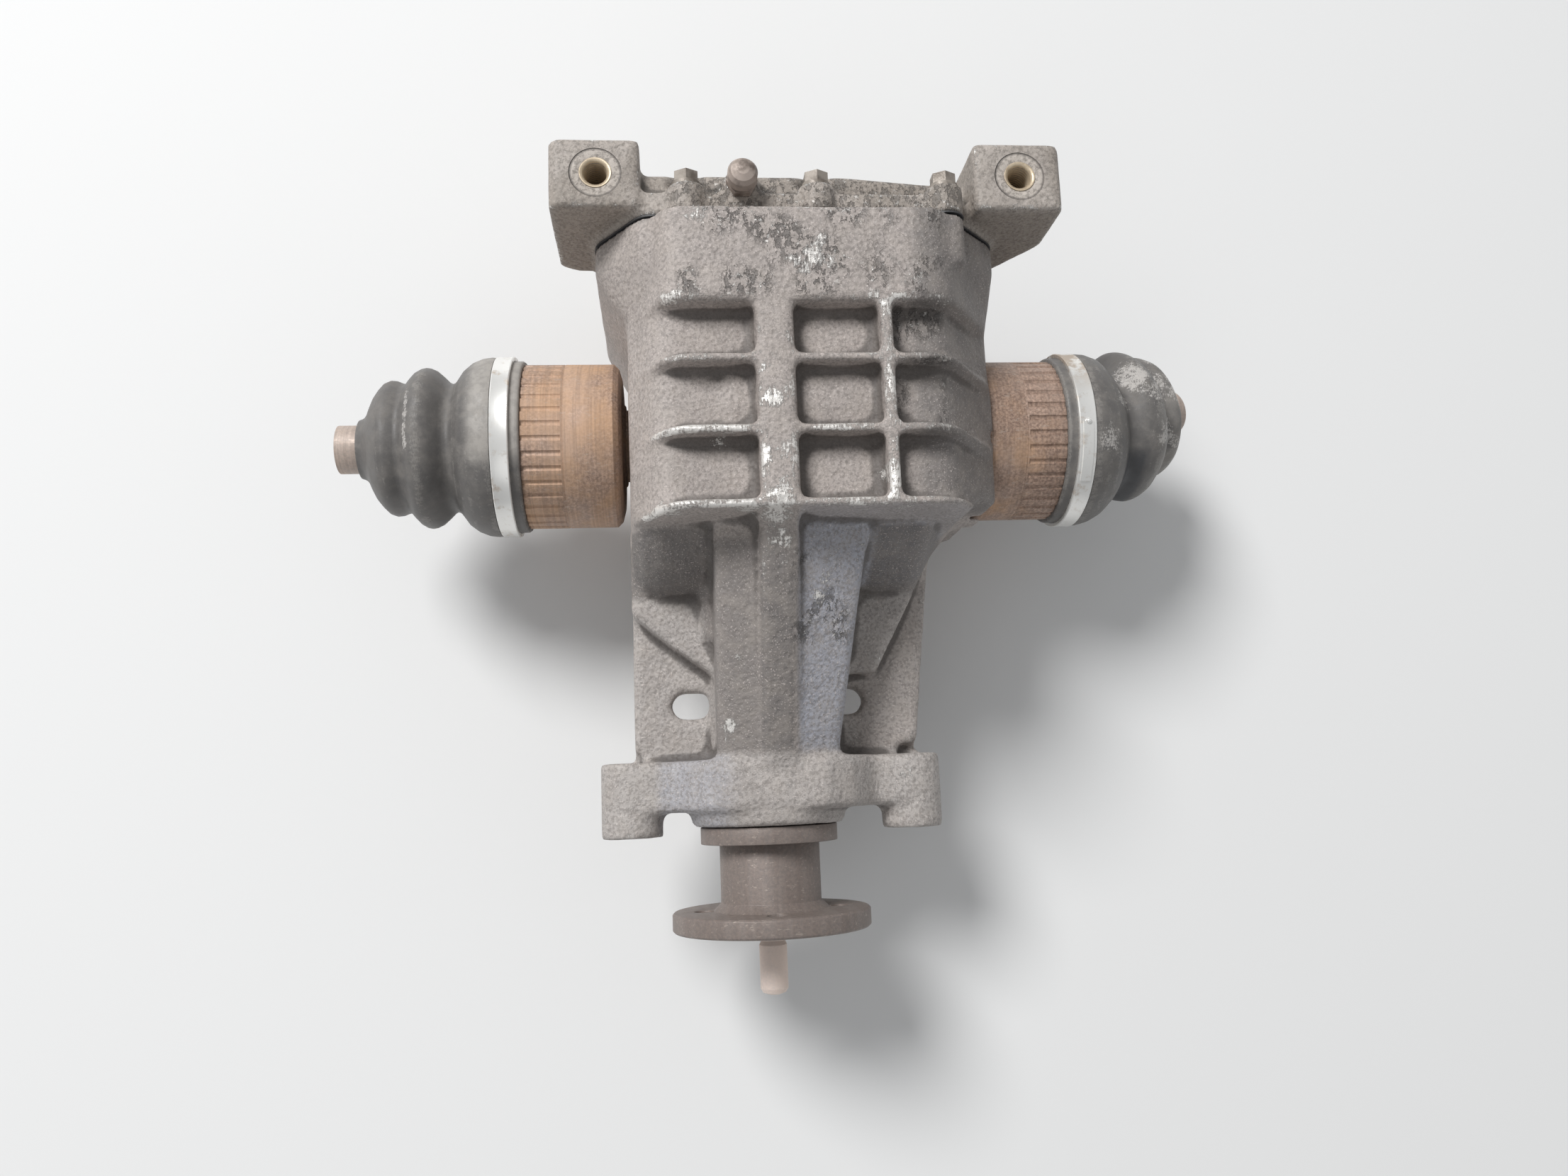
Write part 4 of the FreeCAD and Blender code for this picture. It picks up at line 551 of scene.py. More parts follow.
def rubber(name, black, dust_share):
    material, tree, sockets = blank(name, 0.0, 0.6)
    where = object_place(tree)
    dirt_and_shade = use(tree, dirt_and_hollow_shade, Hollow=painted(tree, "hollow"), Facing=object_facing(tree), Place=where)
    closer = tree.nodes.new("ShaderNodeVectorMath")
    closer.operation = "SCALE"
    feed(tree, closer.inputs[0], where)
    closer.inputs["Scale"].default_value = finer_scuffs
    closer = closer.outputs[0]
    worn = use(tree, worn_edges, Edge=painted(tree, "edge"), Place=closer, Reach=0.36)["Mask"]
    scuff = use(tree, worn_edges, Edge=painted(tree, "scuff"), Place=closer, Reach=0.55)["Mask"]
    mottle = between(tree, cloud(tree, where, 210.0, 4.0, 0.7), 0.35, 0.65)
    # chalky dust, partly a painted sheen
    chalk_and_sheen_mask = times(tree, painted(tree, "pale"), between(tree, mottle, 0.0, 1.0, 1.0, 0.7))
    colour = coat(tree, dirt_and_shade["Dust"], black, dust_film, share=dust_share)
    colour = coat(tree, mottle, colour, shade(black, 0.5), share=0.2)
    colour = coat(tree, chalk_and_sheen_mask, colour, chalk_and_sheen)
    # painted shade where the maker painted it
    colour = coat(tree, painted(tree, "painted_shade"), colour, fold_shade_black)
    colour = coat(tree, worn, colour, worn_rubber, share=0.4)
    # scuffs, partly painted highlights
    colour = coat(tree, scuff, colour, scuff_and_highlight_rubber, share=0.8)
    feed(tree, sockets["Base Color"], colour)
    feed(tree, sockets["Roughness"], between(tree, dirt_and_shade["Dust"], 0.0, 1.0, 0.48, 0.8))
    fine = cloud(tree, where, 1100.0, 3.0, 0.6)
    emboss(tree, sockets, plus(tree, fine, cloud(tree, where, 140.0, 3.0)), 0.12 * MM, 0.6)
    return material


boot_rubber = rubber("boot_rubber", (0.145, 0.137, 0.131), 0.55)
finishes["boot_rubber"] = boot_rubber
finishes["seal_rubber"] = rubber("seal_rubber", (0.02, 0.018, 0.017), 0.2)
finishes["gasket"] = rubber("gasket_sheet", (0.035, 0.036, 0.04), 0.25)
finishes["case_alloy"] = housing_skin
finishes["cover_alloy"] = cover_skin

# %% [markdown]
# ### Finishes for the CAD nodes
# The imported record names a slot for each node, so one loop gives every node its finish. The pinion is
# the only node whose finish changes along it.

# %% Every CAD node takes the finish of its slot
slot_of = {entry["node"]: entry["material_slot"] for entry in frame["record"]["subparts"]}
for node, cad in frame["nodes"].items():
    cad.data.materials.clear()
    cad.data.materials.append(pinion_steel if node == "pinion_shaft" else finishes[slot_of[node]])
print("finished", len(frame["nodes"]), "CAD nodes with", len(finishes), "finishes")

# %% [markdown]
# ## Making a finer copy of a casting
# A sand casting has no sharp edges: each corner is rounded, and faces wander a little. The housing is
# too involved to bevel edge by edge, so a copy of its CAD mesh is rebuilt on a fine grid of cubes (a
# voxel remesh) and relaxed. That gives even small faces, on which the worn edges and the hollows can be
# measured: a point stands out where it lies above the average of its neighbours.

# %% Mesh helpers


def keep(form, name, material, body, slot_name, *nodes):
    """Turn a bmesh into a piece that rides on a body and stands for CAD nodes."""
    mesh = bpy.data.meshes.new(name)
    form.to_mesh(mesh)
    form.free()
    return keep_mesh(mesh, name, material, body, slot_name, *nodes)


def keep_mesh(mesh, name, material, body, slot_name, *nodes):
    piece = bpy.data.objects.new(name, mesh)
    bpy.context.scene.collection.objects.link(piece)
    mesh.materials.clear()
    mesh.materials.append(material)
    mesh.shade_smooth()
    if body:
        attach(piece, body)
    if nodes:
        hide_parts(*nodes)
    mesh.calc_loop_triangles()
    print(name, "has", len(mesh.loop_triangles), "triangles")
    return piece


def merged_copy(node):
    """The CAD mesh is loose triangles; its copy is joined up before it is used."""
    form = bmesh.new()
    form.from_mesh(frame["nodes"][node].data)
    bmesh.ops.remove_doubles(form, verts=form.verts, dist=0.004 * MM)
    return form


def points_of(mesh):
    points = np.empty(len(mesh.vertices) * 3)
    mesh.vertices.foreach_get("co", points)
    return points.reshape(-1, 3)


def paint(mesh, name, values):
    layer = mesh.attributes.get(name) or mesh.attributes.new(name, "FLOAT", "POINT")
    layer.data.foreach_set("value", np.asarray(values, dtype=np.float32))


def relaxed(points, edges, rounds, pull):
    """Pull every point towards the average of its neighbours."""
    count = len(points)
    ends = np.concatenate([edges[:, 0], edges[:, 1]])
    others = np.concatenate([edges[:, 1], edges[:, 0]])
    degree = np.maximum(np.bincount(ends, minlength=count), 1)
    points = points.copy()
    for _ in range(rounds):
        sums = [np.bincount(ends, weights=points[others, axis], minlength=count) for axis in range(3)]
        points += pull * (np.stack(sums, 1) / degree[:, None] - points)
    return points


def edge_pairs(mesh):
    pairs = np.empty(len(mesh.edges) * 2, dtype=np.int64)
    mesh.edges.foreach_get("vertices", pairs)
    return pairs.reshape(-1, 2)


def normals_of(mesh):
    normals = np.empty(len(mesh.vertices) * 3)
    mesh.vertex_normals.foreach_get("vector", normals)
    return normals.reshape(-1, 3)


def step_up(values, low, high):
    share = np.clip((values - low) / (high - low), 0, 1)
    return share * share * (3 - 2 * share)


# %% Measure how far each point stands out


def paint_relief(mesh, fine_rounds=3, wide_rounds=14):
    """Paint 'edge' where the surface is convex and 'hollow' where it is concave."""
    points, normals, pairs = points_of(mesh), normals_of(mesh), edge_pairs(mesh)
    fine = ((points - relaxed(points, pairs, fine_rounds, 0.6)) * normals).sum(1) / MM
    wide = ((points - relaxed(points, pairs, wide_rounds, 0.6)) * normals).sum(1) / MM
    edges = step_up(fine + 0.35 * wide, 0.10, 0.75)
    paint(mesh, "edge", edges)
    paint(mesh, "hollow", step_up(-wide, 0.05, 1.1))
    return points, normals, edges


# %% Rebuild a casting on a fine grid


def cast_mesh(node, grid, relax_rounds):
    form = merged_copy(node)
    rough_mesh = bpy.data.meshes.new(node + "_rough")
    form.to_mesh(rough_mesh)
    form.free()
    helper = bpy.data.objects.new(node + "_rough", rough_mesh)
    bpy.context.scene.collection.objects.link(helper)
    remesh = helper.modifiers.new("grid", "REMESH")
    remesh.mode = "VOXEL"
    remesh.voxel_size = grid
    scene_state = bpy.context.evaluated_depsgraph_get()
    mesh = bpy.data.meshes.new_from_object(helper.evaluated_get(scene_state))
    bpy.data.objects.remove(helper)
    points = relaxed(points_of(mesh), edge_pairs(mesh), relax_rounds, 0.5)
    mesh.vertices.foreach_set("co", points.ravel())
    mesh.update()
    return mesh


def push(mesh, points, normals, amount):
    """Move each point along its normal by an amount in millimetres."""
    mesh.vertices.foreach_set("co", (points + normals * (amount * MM)[:, None]).ravel())
    mesh.update()


def lumps(points, size, seed):
    """Smooth noise at each point, about -1 to 1, with lumps of a size in millimetres."""
    shift = Vector((seed * 3.7, seed * 1.3, seed * 2.1))
    return np.array([noise.noise(Vector(point) / (size * MM) + shift) for point in points])


# %% [markdown]
# ## The housing
# The photographed housing was cast in sand and then carried years of road dirt. Its skin is coarse, and
# the panel at its rear and two cells of the rib grid are eaten rough by salt. The rib tops and the spine
# are scuffed bright where the part was dragged about. Those places are painted on the mesh, as
# soft spots, and the finish breaks them up.

# %% Rough patches and scuffs, in millimetres from the axle's middle


def soft_box(points, low, high, fade):
    """One inside a box and zero outside it, with a soft border."""
    inside = np.ones(len(points))
    for axis in range(3):
        inside *= step_up(points[:, axis], low[axis] - fade, low[axis])
        inside *= step_up(-points[:, axis], -high[axis] - fade, -high[axis])
    return inside


def spots(points, places):
    """Soft round spots: (x, y, z, radius, strength) each."""
    value = np.zeros(len(points))
    for x, y, z, radius, strength in places:
        distance = np.linalg.norm((points - np.array([x, y, z])) * np.array([1, 1, 0.5]), axis=1)
        value = np.maximum(value, strength * (1 - step_up(distance, 0.3 * radius, radius)))
    return value


rough_patches = [((-38, 46, 90), (84, 92, 112)), ((62, 14, 78), (84, 38, 94)), ((62, -18, 78), (84, 10, 94)),
                 ((13, -112, 30), (36, -76, 84))]
rib_scuffs = [
    (-22, -20, 98, 14, 0.8), (-40, -20, 98, 10, 0.6), (4, -4, 98, 10, 0.6), (4, -56, 96, 14, 1.0),
    (3, -70, 88, 12, 0.9), (6, -80, 84, 9, 0.7), (56, -40, 98, 12, 0.8), (24, 63, 98, 9, 0.9),
    (32, 61, 98, 8, 0.8), (14, 60, 98, 7, 0.8), (19, 56, 98, 6, 0.8), (27, 70, 98, 6, 0.8),
    (4, 14, 98, 8, 0.6), (60, 15, 98, 9, 0.5), (27, -84, 70, 7, 0.8), (24, -94, 66, 7, 0.9),
    (21, -104, 62, 6, 0.7), (-46, -55, 96, 14, 0.8), (70, -55, 96, 12, 0.5), (-30, 15, 98, 12, 0.4),
    (-16, -120, 56, 6, 0.6), (-21, -152, 42, 6, 0.7), (-20, -160, 38, 6, 0.6), (34, -130, 45, 7, 0.5),
    (-30, 84, 98, 9, 0.6), (2, -6, 98, 9, 0.9), (6, -32, 98, 9, 0.9), (-1, 8, 98, 7, 0.7),
    (5, -46, 97, 8, 0.8), (62, -56, 96, 10, 0.8), (-12, -56, 96, 10, 0.8), (60, 84, 98, 10, 0.6),
    (-35, 52, 98, 10, 0.5), (70, 50, 98, 10, 0.5), (5, -181, 39, 12, 0.35), (70, -181, 12, 12, 0.6)]
rib_streaks = [
    (-45, -18, 98, 34, 1.0), (-20, -18, 98, 22, 1.0), (-48, -56, 96, 30, 0.9), (-20, -56, 96, 26, 0.8),
    (30, -18, 98, 20, 0.8), (-45, 18, 98, 16, 0.8), (45, 20, 98, 18, 0.7), (52, -45, 98, 20, 0.95),
    (52, 0, 98, 24, 0.7), (60, 50, 98, 26, 0.75), (-40, 50, 98, 26, 0.7), (68, -18, 96, 20, 0.6),
    (40, -56, 96, 34, 0.75), (2, 20, 98, 22, 0.6), (2, -30, 98, 26, 0.8)]
print(len(rough_patches), "eaten patches,", len(rib_scuffs), "scuffs and", len(rib_streaks), "streaks")

# %% [markdown]
# ### The housing's skin
# The copy gets a slow wander, as a sand mould gives, and crumbs in the eaten patches. Then its edges
# and hollows are measured, and each area is painted as it looks on the real part: the nose's low front
# and the crossbar are paler, a cleaner tone that is partly painted light, and the right plate less so as
# painted shade. A bluish painted shade lies on the box's right facet and the crossbar's left slope, and painted
# shade darkens the drum beside the nose, the box's left face, the spine's front and the right flank.

# %% The housing's skin
housing_grid = 2.15 * MM
housing_mesh = cast_mesh("housing", housing_grid, 2)
points, normals = points_of(housing_mesh), normals_of(housing_mesh)
local = (points - np.array(axle)) / MM
rough = sum(soft_box(local, low, high, 5) for low, high in rough_patches)
rough = np.clip(rough, 0, 1) * step_up(lumps(points, 16, 4), -0.25, 0.2)
wander = 0.22 * lumps(points, 22, 1) + 0.10 * lumps(points, 7, 2)
push(housing_mesh, points, normals, wander + rough * 0.55 * lumps(points, 4.5, 3))
points, normals, housing_edges = paint_relief(housing_mesh)
across, along, upward = local.T
top_wear = 0.38 + 0.20 * step_up(upward, 88, 94)
paint(housing_mesh, "edge", housing_edges * top_wear)
paint(housing_mesh, "rough", rough)
dragged = spots(local, rib_scuffs)
streaks = spots(local, rib_streaks) * step_up(housing_edges, 0.15, 0.5)
paint(housing_mesh, "scuff", np.maximum(0.85 * dragged, streaks))
# paler: a cleaner tone on the nose's low front and the crossbar, partly painted light; the right plate is less
# pale, as painted shade
low_front = step_up(-along, 60, 68) * step_up(-upward, -26, -20)
bar = step_up(-along, 163, 167)
right_plate_shade = step_up(across, 44, 52) * (1 - bar) * step_up(-upward, -12, -6)
paint(housing_mesh, "pale", np.clip(0.9 * low_front + 0.85 * bar - 0.55 * right_plate_shade, 0, 1))
# painted bluish shade on the box's right facet and the crossbar's left slope
right_facet_shade = step_up(across, 11, 15) * step_up(-along, 55, 60) * step_up(upward, 20, 28) * (1 - bar)
bar_left_slope_shade = bar * step_up(-across, 14, 26) * step_up(across, -58, -52)
paint(housing_mesh, "bluish_shade", np.clip(0.9 * right_facet_shade + 0.6 * bar_left_slope_shade, 0, 1))
# painted shade on the box's left face, the spine's front, the drum beside the nose and the right flank
box_front = step_up(-along, 62, 68) * step_up(upward, 14, 24) * (1 - bar)
on_spine = step_up(-np.abs(across - 3), -9, -7)
left_face = box_front * step_up(-across, 3, 7)
beside_nose = np.clip(step_up(-across, 25, 28) + step_up(across, 50, 54), 0, 1)
drum = step_up(-along, 57, 60) * step_up(along, -87, -84) * step_up(upward, 4, 12) * beside_nose
right_flank = step_up(across, 66, 76) * step_up(along, -60, -50) * step_up(upward, 10, 30)
painted_shade = 0.88 * drum + 0.65 * left_face + 0.88 * box_front * on_spine + 0.8 * right_flank
paint(housing_mesh, "painted_shade", np.clip(painted_shade, 0, 0.95))
keep_mesh(housing_mesh, "cast_housing", housing_skin, "housing", "case_alloy", "housing")

# %% [markdown]
# ### The rear cover's skin
# The cover is a smaller casting with thinner walls, so it gets a finer grid and a smaller wander. Its
# upper side, with the tops of the ears, is paler, and the strip by the joint is eaten rough.

# %% The rear cover's skin
cover_grid = 1.7 * MM
cover_mesh = cast_mesh("rear_cover", cover_grid, 2)
points, normals = points_of(cover_mesh), normals_of(cover_mesh)
local = (points - np.array(axle)) / MM
push(cover_mesh, points, normals, 0.16 * lumps(points, 18, 5) + 0.08 * lumps(points, 6, 6))
points, normals, cover_edges = paint_relief(cover_mesh)
paint(cover_mesh, "edge", 0.6 * cover_edges)
paint(cover_mesh, "pale", 0.9 * step_up(local[:, 2], 80, 87) * step_up(lumps(points, 20, 7), -0.4, 0.3))
paint(cover_mesh, "rough", 0.7 * soft_box(local, (-40, 80, 70), (95, 125, 100), 6))
keep_mesh(cover_mesh, "cast_rear_cover", cover_skin, "housing", "cover_alloy", "rear_cover")

# %% [markdown]
# ## Threads in the ears
# The two ear holes are plain in the CAD model. Here each gets a thin sleeve with the thread's ridges,
# still yellow from the plated insert, and a little dirt.

# %% Thread sleeves
thread_metal = machined("thread_plating", (0.72, 0.60, 0.44), 0.42, (0.30, 0.22, 0.14), 0.6, 0.4)
ear_low, ear_high, thread_pitch, thread_facets = 56.0, 87.6, 1.75, 40
for side, (ear_x, ear_y) in zip(("left", "right"), ear_centres):
    form = bmesh.new()
    ridges = [(5.25 if step % 2 else 5.95, ear_low + step * thread_pitch / 2)
              for step in range(int((ear_high - ear_low) / thread_pitch * 2))]
    mouth = [(5.6, ear_high - 1.0), (7.5, ear_high + 0.5), (7.7, ear_high + 0.35), (5.99, ear_high - 1.2)]
    loop = [ridge for ridge in ridges if ridge[1] < ear_high - 1.4] + mouth + [(5.99, ear_low - 0.3)]
    verts = [form.verts.new((radius * MM, 0.0, height * MM)) for radius, height in loop]
    edges = [form.edges.new((verts[index], verts[(index + 1) % len(verts)])) for index in range(len(verts))]
    bmesh.ops.spin(form, geom=verts + edges, cent=(0, 0, 0), axis=(0, 0, 1), angle=math.tau,
                   steps=thread_facets, use_merge=True)
    bmesh.ops.remove_doubles(form, verts=form.verts, dist=0.001 * MM)
    bmesh.ops.recalc_face_normals(form, faces=form.faces)
    bmesh.ops.translate(form, verts=form.verts, vec=(ear_x * MM, ear_y * MM, 0))
    keep(form, f"ear_thread_{side}", thread_metal, "housing", "zinc_bolts")

# %% [markdown]
# ## Turned pieces
# Joint housings, flange, deflector and shafts are turned on a lathe. Their CAD shape is right, so a
# joined copy only gets its corners broken: a bevel operator rounds every edge that is sharper than a
# limit.

# %% Break the corners of a turned piece


def broken_corners(node, width, limit_degrees=28.0, segments=2):
    form = merged_copy(node)
    bmesh.ops.dissolve_limit(form, angle_limit=math.radians(1.0), verts=form.verts, edges=form.edges)
    sharp = [edge for edge in form.edges if len(edge.link_faces) == 2
             and edge.calc_face_angle(0.0) > math.radians(limit_degrees)]
    bmesh.ops.bevel(form, geom=sharp, offset=width, offset_type="OFFSET", segments=segments, profile=0.5,
                    affect="EDGES", clamp_overlap=True, material=-1)
    mesh = bpy.data.meshes.new(node + "_fine")
    form.to_mesh(mesh)
    form.free()
    return mesh


def turned_piece(node, name, width, material, body):
    mesh = broken_corners(node, width)
    piece = keep_mesh(mesh, name, material, body, slot_of[node], node)
    mesh.set_sharp_from_angle(angle=math.radians(35))
    return piece


for side, rust in (("left", joint_rust_left), ("right", joint_rust_right)):
    turned_piece(f"joint_housing_{side}", f"turned_joint_housing_{side}", 0.25 * MM, rust, f"{side}_output")
    turned_piece(f"half_shaft_{side}", f"sawn_half_shaft_{side}", 0.3 * MM, shaft_steel, f"{side}_shaft")
turned_piece("companion_flange", "turned_companion_flange", 0.5 * MM, flange_steel, "pinion")
turned_piece("dust_deflector", "pressed_dust_deflector", 0.4 * MM, flange_steel, "pinion")

# %% [markdown]
# ## Rubber boots
# A boot is moulded rubber: a wide collar that the clamp holds, then folds that let the shaft swing, and
# a narrow collar on the shaft. One closed profile, skin and inside together, is spun about the joint's
# axis, and the right boot leans over to its shaft step by step. One piece can bend only between two
# bodies, so each boot is made in two. They meet on the slope of the first fold, near enough to the joint
# for the shaft to swing freely inside the wide half.

# %% Boot profile and its lean, in millimetres along the axis and out from it
collar_end, lean_end = 30.0, 76.0
boot_wall, valley_wall, valley_end = 2.5, 1.6, 56.0
collar_bore, collar_bore_end, shaft_bore, shaft_bore_start = 41.5, 28, 12.7, 96
wobble, wobble_size, wobble_start = 0.35, 13, 31
boot_facets = 112
outer_profile = [
    (15.0, 44.2), (16.0, 44.9), (18.9, 44.9), (19.6, 45.2), (29.2, 45.2), (29.4, 46.7), (31.5, 46.9),
    (36.0, 46.3), (41.0, 44.3), (45.5, 40.8), (47.6, 37.9), (48.6, 36.5), (49.6, 35.1), (50.8, 34.0),
    (52.6, 33.6), (54.6, 34.6), (57.4, 37.4), (60.6, 40.2), (63.4, 41.5), (65.5, 41.9), (67.8, 41.45),
    (70.4, 40.0), (73.0, 37.2), (75.0, 34.6), (76.6, 33.7), (78.4, 34.1), (80.8, 35.1), (83.4, 35.3),
    (86.2, 34.2), (88.8, 31.6), (91.4, 28.2), (93.6, 24.0), (95.6, 19.6), (97.6, 16.9), (99.2, 15.9),
    (100.7, 15.4)]
seam = 48.6
seam_inside = (47.4, 35.6)


def lean_at(along, yaw, pitch):
    share = min(1.0, max(0.0, (along - collar_end) / (lean_end - collar_end)))
    turn_aside = Euler((0, 0, math.radians(yaw * share))).to_matrix()
    return turn_aside @ Euler((0, math.radians(pitch * share), 0)).to_matrix()


def boot_half(part, yaw, pitch, pivot, turned_round):
    """Half a boot about its pivot: 'wide' ends at the seam, and 'narrow' starts there."""
    rows = [row for row in outer_profile if (row[0] <= seam if part == "wide" else row[0] >= seam)]
    inside = []
    for along, radius in rows:
        wall = valley_wall if seam < along < valley_end else boot_wall
        least = collar_bore if along < collar_bore_end else shaft_bore if along > shaft_bore_start else 0.0
        inside.append(seam_inside if along == seam else (along, max(radius - wall, least)))
    loop = rows + inside[::-1]
    form = bmesh.new()
    verts = [form.verts.new((along * MM, 0.0, radius * MM)) for along, radius in loop]
    edges = [form.edges.new((verts[index], verts[(index + 1) % len(verts)])) for index in range(len(verts))]
    bmesh.ops.spin(form, geom=verts + edges, cent=(0, 0, 0), axis=(1, 0, 0), angle=math.tau,
                   steps=boot_facets, use_merge=True)
    bmesh.ops.remove_doubles(form, verts=form.verts, dist=0.001 * MM)
    long_edges = [edge for edge in form.edges if edge.calc_length() > 2.6 * MM
                  and abs(edge.verts[0].co.x - edge.verts[1].co.x) > 1.2 * MM]
    bmesh.ops.subdivide_edges(form, edges=long_edges, cuts=1)
    bmesh.ops.recalc_face_normals(form, faces=form.faces)
    for vert in form.verts:
        place = vert.co.copy()
        if place.x > wobble_start * MM:
            radial = Vector((0, place.y, place.z)).normalized()
            calm = step_up(np.array([abs(place.x / MM - seam)]), 1.3, 4.0)[0]
            place += radial * (wobble * MM * calm * noise.noise(place / (wobble_size * MM)))
        place = lean_at(place.x / MM, yaw, pitch) @ place
        vert.co = (Matrix.Rotation(math.pi, 3, "Z") @ place if turned_round else place) + pivot
    return form


# %% [markdown]
# ### Dust, scuffs, painted highlights and painted shade on the boots
# The left boot is chalky on its shoulder, with a painted sheen there, and one crest has scuffs with a painted
# highlight. The right one is turned aside; its end face and a few spots have knocks that are partly painted
# highlights, and painted shade darkens its low fold. Both are painted after the lean, in millimetres from the
# pivot.

# %% Paint a boot half
# knocks on the right boot: scuffs, partly painted highlights
knocks_and_highlights = [(60, 30, 28, 16, 0.95), (52, 12, 40, 12, 0.8), (70, 20, 20, 14, 0.8), (38, -12, 44, 13, 0.7)]


def paint_left_boot(mesh, points, local):
    # chalky dust and a painted sheen on the upper side of the left shoulder
    shoulder_chalk_and_sheen = step_up(local[:, 0], -43, -37) * step_up(local[:, 1] + 6 * lumps(points, 9, 12), -24, -14)
    paint(mesh, "pale", 0.75 * shoulder_chalk_and_sheen * step_up(local[:, 2], 5, 25))
    # scuffs and a painted highlight along the top of one crest
    crest_scuff_and_highlight = step_up(-np.abs(local[:, 0] + 71.0), -2.2, -0.8) * step_up(local[:, 2], 20, 32)
    paint(mesh, "scuff", 0.75 * crest_scuff_and_highlight * step_up(-np.abs(local[:, 1] - 4), -20, -14))


def paint_right_boot(mesh, points, local):
    # the right boot's end face: knocks, partly painted highlights
    end_face_knocks_and_highlights = 0.8 * step_up(local[:, 0], 64, 76) * step_up(local[:, 2], -12, 8)
    end_face_knocks_and_highlights *= step_up(lumps(points, 12, 9), -0.5, 0.3)
    paint(mesh, "scuff", np.maximum(end_face_knocks_and_highlights, spots(local, knocks_and_highlights)))
    paint(mesh, "pale", 0.45 * step_up(local[:, 0], 66, 80) * step_up(lumps(points, 20, 11), -0.4, 0.4))
    # painted shade on the side of the low fold away from the lamp
    low_fold_shade = step_up(-local[:, 1], 8, 16) * step_up(local[:, 0], 50, 54) * step_up(-local[:, 0], -68, -64)
    paint(mesh, "painted_shade", 0.8 * low_fold_shade)


# %% Both boots
bend_end = 74.0
boot_sides = {
    "left": (Vector((-104.8 * MM, 252 * MM, 0)), 0.0, 0.0, True),
    "right": (Vector((144.0 * MM, 252 * MM, 0)), 13.5, 15.0, False),
}
for side, (pivot, yaw, pitch, turned_round) in boot_sides.items():
    bend_start = 36.0 if yaw else 31.5  # further out on the leaning boot
    spans = {
        "wide": (f"{side}_output", f"{side}_boot", bend_start, seam - 0.1),
        "narrow": (f"{side}_boot", f"{side}_shaft", seam + 0.1, bend_end),
    }
    for part, (first, second, start, end) in spans.items():
        form = boot_half(part, yaw, pitch, pivot, turned_round)
        mesh = bpy.data.meshes.new(f"boot_{part}_{side}")
        form.to_mesh(mesh)
        form.free()
        nodes = (f"boot_{side}",) if part == "wide" else ()
        piece = keep_mesh(mesh, f"rubber_boot_{part}_{side}", boot_rubber, None, "boot_rubber", *nodes)
        points = paint_relief(mesh, 3, 10)[0]
        local = (points - np.array(pivot)) / MM
        if side == "left":
            paint_left_boot(mesh, points, local)
        else:
            paint_right_boot(mesh, points, local)
        mesh.set_sharp_from_angle(angle=math.radians(60))
        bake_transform(piece)
        print("it bends between", first, "and", second, "from", start, "to", end, "mm")

# %% [markdown]
# ## Band clamps
# A band of bright steel goes once round the collar. The band is a thin flat profile with rolled edges,
# spun once round. Its overlap is a short second turn, and the right one shows the small nub that locks it.

# %% Clamps
clamp_facets, overlap_degrees, nub_radius = 128, 38, 1.7


def band_clamp(pivot, turned_round, lock_angle, nub):
    form = bmesh.new()
    start, width, inner, thick = 20.0, 9.0, 45.3, 2.0
    end, outer = start + width, inner + thick
    rolled = [(start, inner), (start, outer - 0.4), (start + 0.5, outer), (start + 1.4, outer - 0.1),
              (start + width / 2, outer - 0.3), (end - 1.4, outer - 0.1), (end - 0.5, outer),
              (end, outer - 0.4), (end, inner)]
    verts = [form.verts.new((along * MM, 0, radius * MM)) for along, radius in rolled]
    edges = [form.edges.new((verts[index], verts[(index + 1) % len(verts)])) for index in range(len(verts))]
    bmesh.ops.spin(form, geom=verts + edges, cent=(0, 0, 0), axis=(1, 0, 0), angle=math.tau,
                   steps=clamp_facets, use_merge=True)
    bmesh.ops.remove_doubles(form, verts=form.verts, dist=0.001 * MM)
    tail = [(start + 1.8, outer - 0.5), (start + 1.8, outer + 0.35),
            (end - 1.8, outer + 0.35), (end - 1.8, outer - 0.5)]
    verts = [form.verts.new((along * MM, 0, radius * MM)) for along, radius in tail]
    tail_face = form.faces.new(verts)
    bmesh.ops.spin(form, geom=[tail_face], cent=(0, 0, 0), axis=(1, 0, 0),
                   angle=math.radians(overlap_degrees), steps=10)
    if nub:
        dome = bmesh.ops.create_uvsphere(form, u_segments=16, v_segments=10, radius=nub_radius * MM)["verts"]
        bmesh.ops.translate(form, verts=dome, vec=(start * MM + width / 2 * MM, 0, outer * MM))
    bmesh.ops.recalc_face_normals(form, faces=form.faces)
    bmesh.ops.rotate(form, verts=form.verts, cent=(0, 0, 0),
                     matrix=Matrix.Rotation(math.radians(lock_angle), 3, "X"))
    if turned_round:
        bmesh.ops.rotate(form, verts=form.verts, cent=(0, 0, 0), matrix=Matrix.Rotation(math.pi, 3, "Z"))
    bmesh.ops.translate(form, verts=form.verts, vec=pivot)
    return form


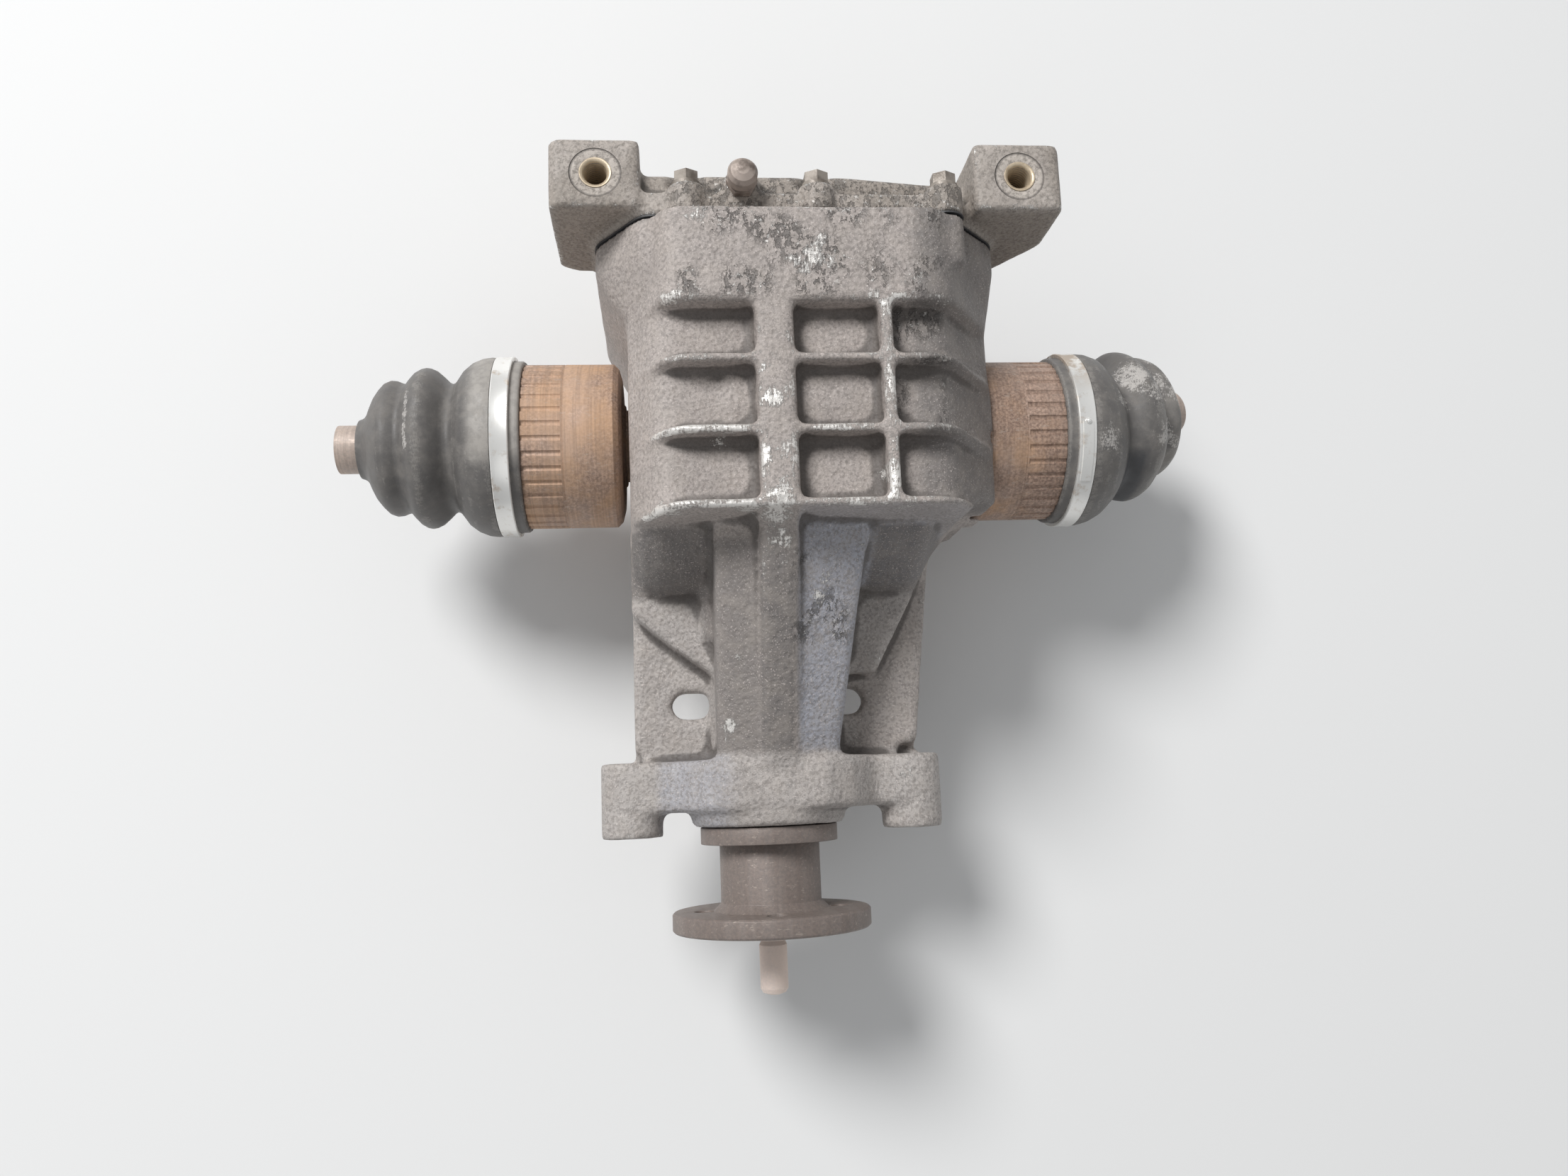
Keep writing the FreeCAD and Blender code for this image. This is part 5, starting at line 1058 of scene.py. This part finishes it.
for side, (pivot, _, _, turned_round) in boot_sides.items():
    form = band_clamp(pivot, turned_round, 140 if side == "left" else 4, side == "right")
    piece = keep(form, f"band_clamp_{side}", band_steel, f"{side}_output", "band_steel", f"boot_clamp_{side}")
    piece.data.set_sharp_from_angle(angle=math.radians(40))

# %% [markdown]
# ## Floor and light
# A plain pale floor lies just under the part. The light is soft: a wide lamp from behind the cover, which
# shades the nose side of every rib as in the photograph, two weak ones from the front and from the right,
# and a pale sky.

# %% Floor
floor_reach, floor_height = 6.0, cad_low.z - 0.5 * MM
floor_form = bmesh.new()
bmesh.ops.create_grid(floor_form, x_segments=1, y_segments=1, size=floor_reach)
bmesh.ops.translate(floor_form, verts=floor_form.verts, vec=(0, 0, floor_height))
floor_mesh = bpy.data.meshes.new("floor")
floor_form.to_mesh(floor_mesh)
floor_form.free()
floor = bpy.data.objects.new("floor", floor_mesh)
bpy.context.scene.collection.objects.link(floor)
floor_paint, tree, sockets = blank("pale_floor", 0.0, 0.9)
sockets["Base Color"].default_value = (0.86, 0.86, 0.855, 1.0)
floor_mesh.materials.append(floor_paint)
print("the floor lies at", round(floor_height / MM, 1), "mm")

# %% Lamps and sky


def soft_lamp(name, place, target, size, power):
    lamp = bpy.data.lights.new(name, "AREA")
    lamp.shape = "DISK"
    lamp.size = size
    lamp.energy = power
    holder = bpy.data.objects.new(name, lamp)
    holder.location = place
    holder.rotation_euler = (Vector(target) - Vector(place)).to_track_quat("-Z", "Y").to_euler()
    bpy.context.scene.collection.objects.link(holder)


middle = (0.02, 0.2, 0.0)
soft_lamp("lamp_behind_cover", (-1.75, 2.25, 3.0), middle, 1.5, 138.0)
soft_lamp("lamp_front", (-0.8, -1.2, 1.6), middle, 1.4, 2.5)
soft_lamp("lamp_right", (1.7, 0.1, 1.2), middle, 1.2, 1.0)
sky = bpy.data.worlds.new("pale_sky")
sky.use_nodes = True
sky.node_tree.nodes["Background"].inputs["Color"].default_value = (0.96, 0.98, 1.0, 1.0)
sky.node_tree.nodes["Background"].inputs["Strength"].default_value = 0.34
bpy.context.scene.world = sky
bpy.context.scene.view_settings.view_transform = "Standard"
print("lamps:", {lamp.name: lamp.energy for lamp in bpy.data.lights})
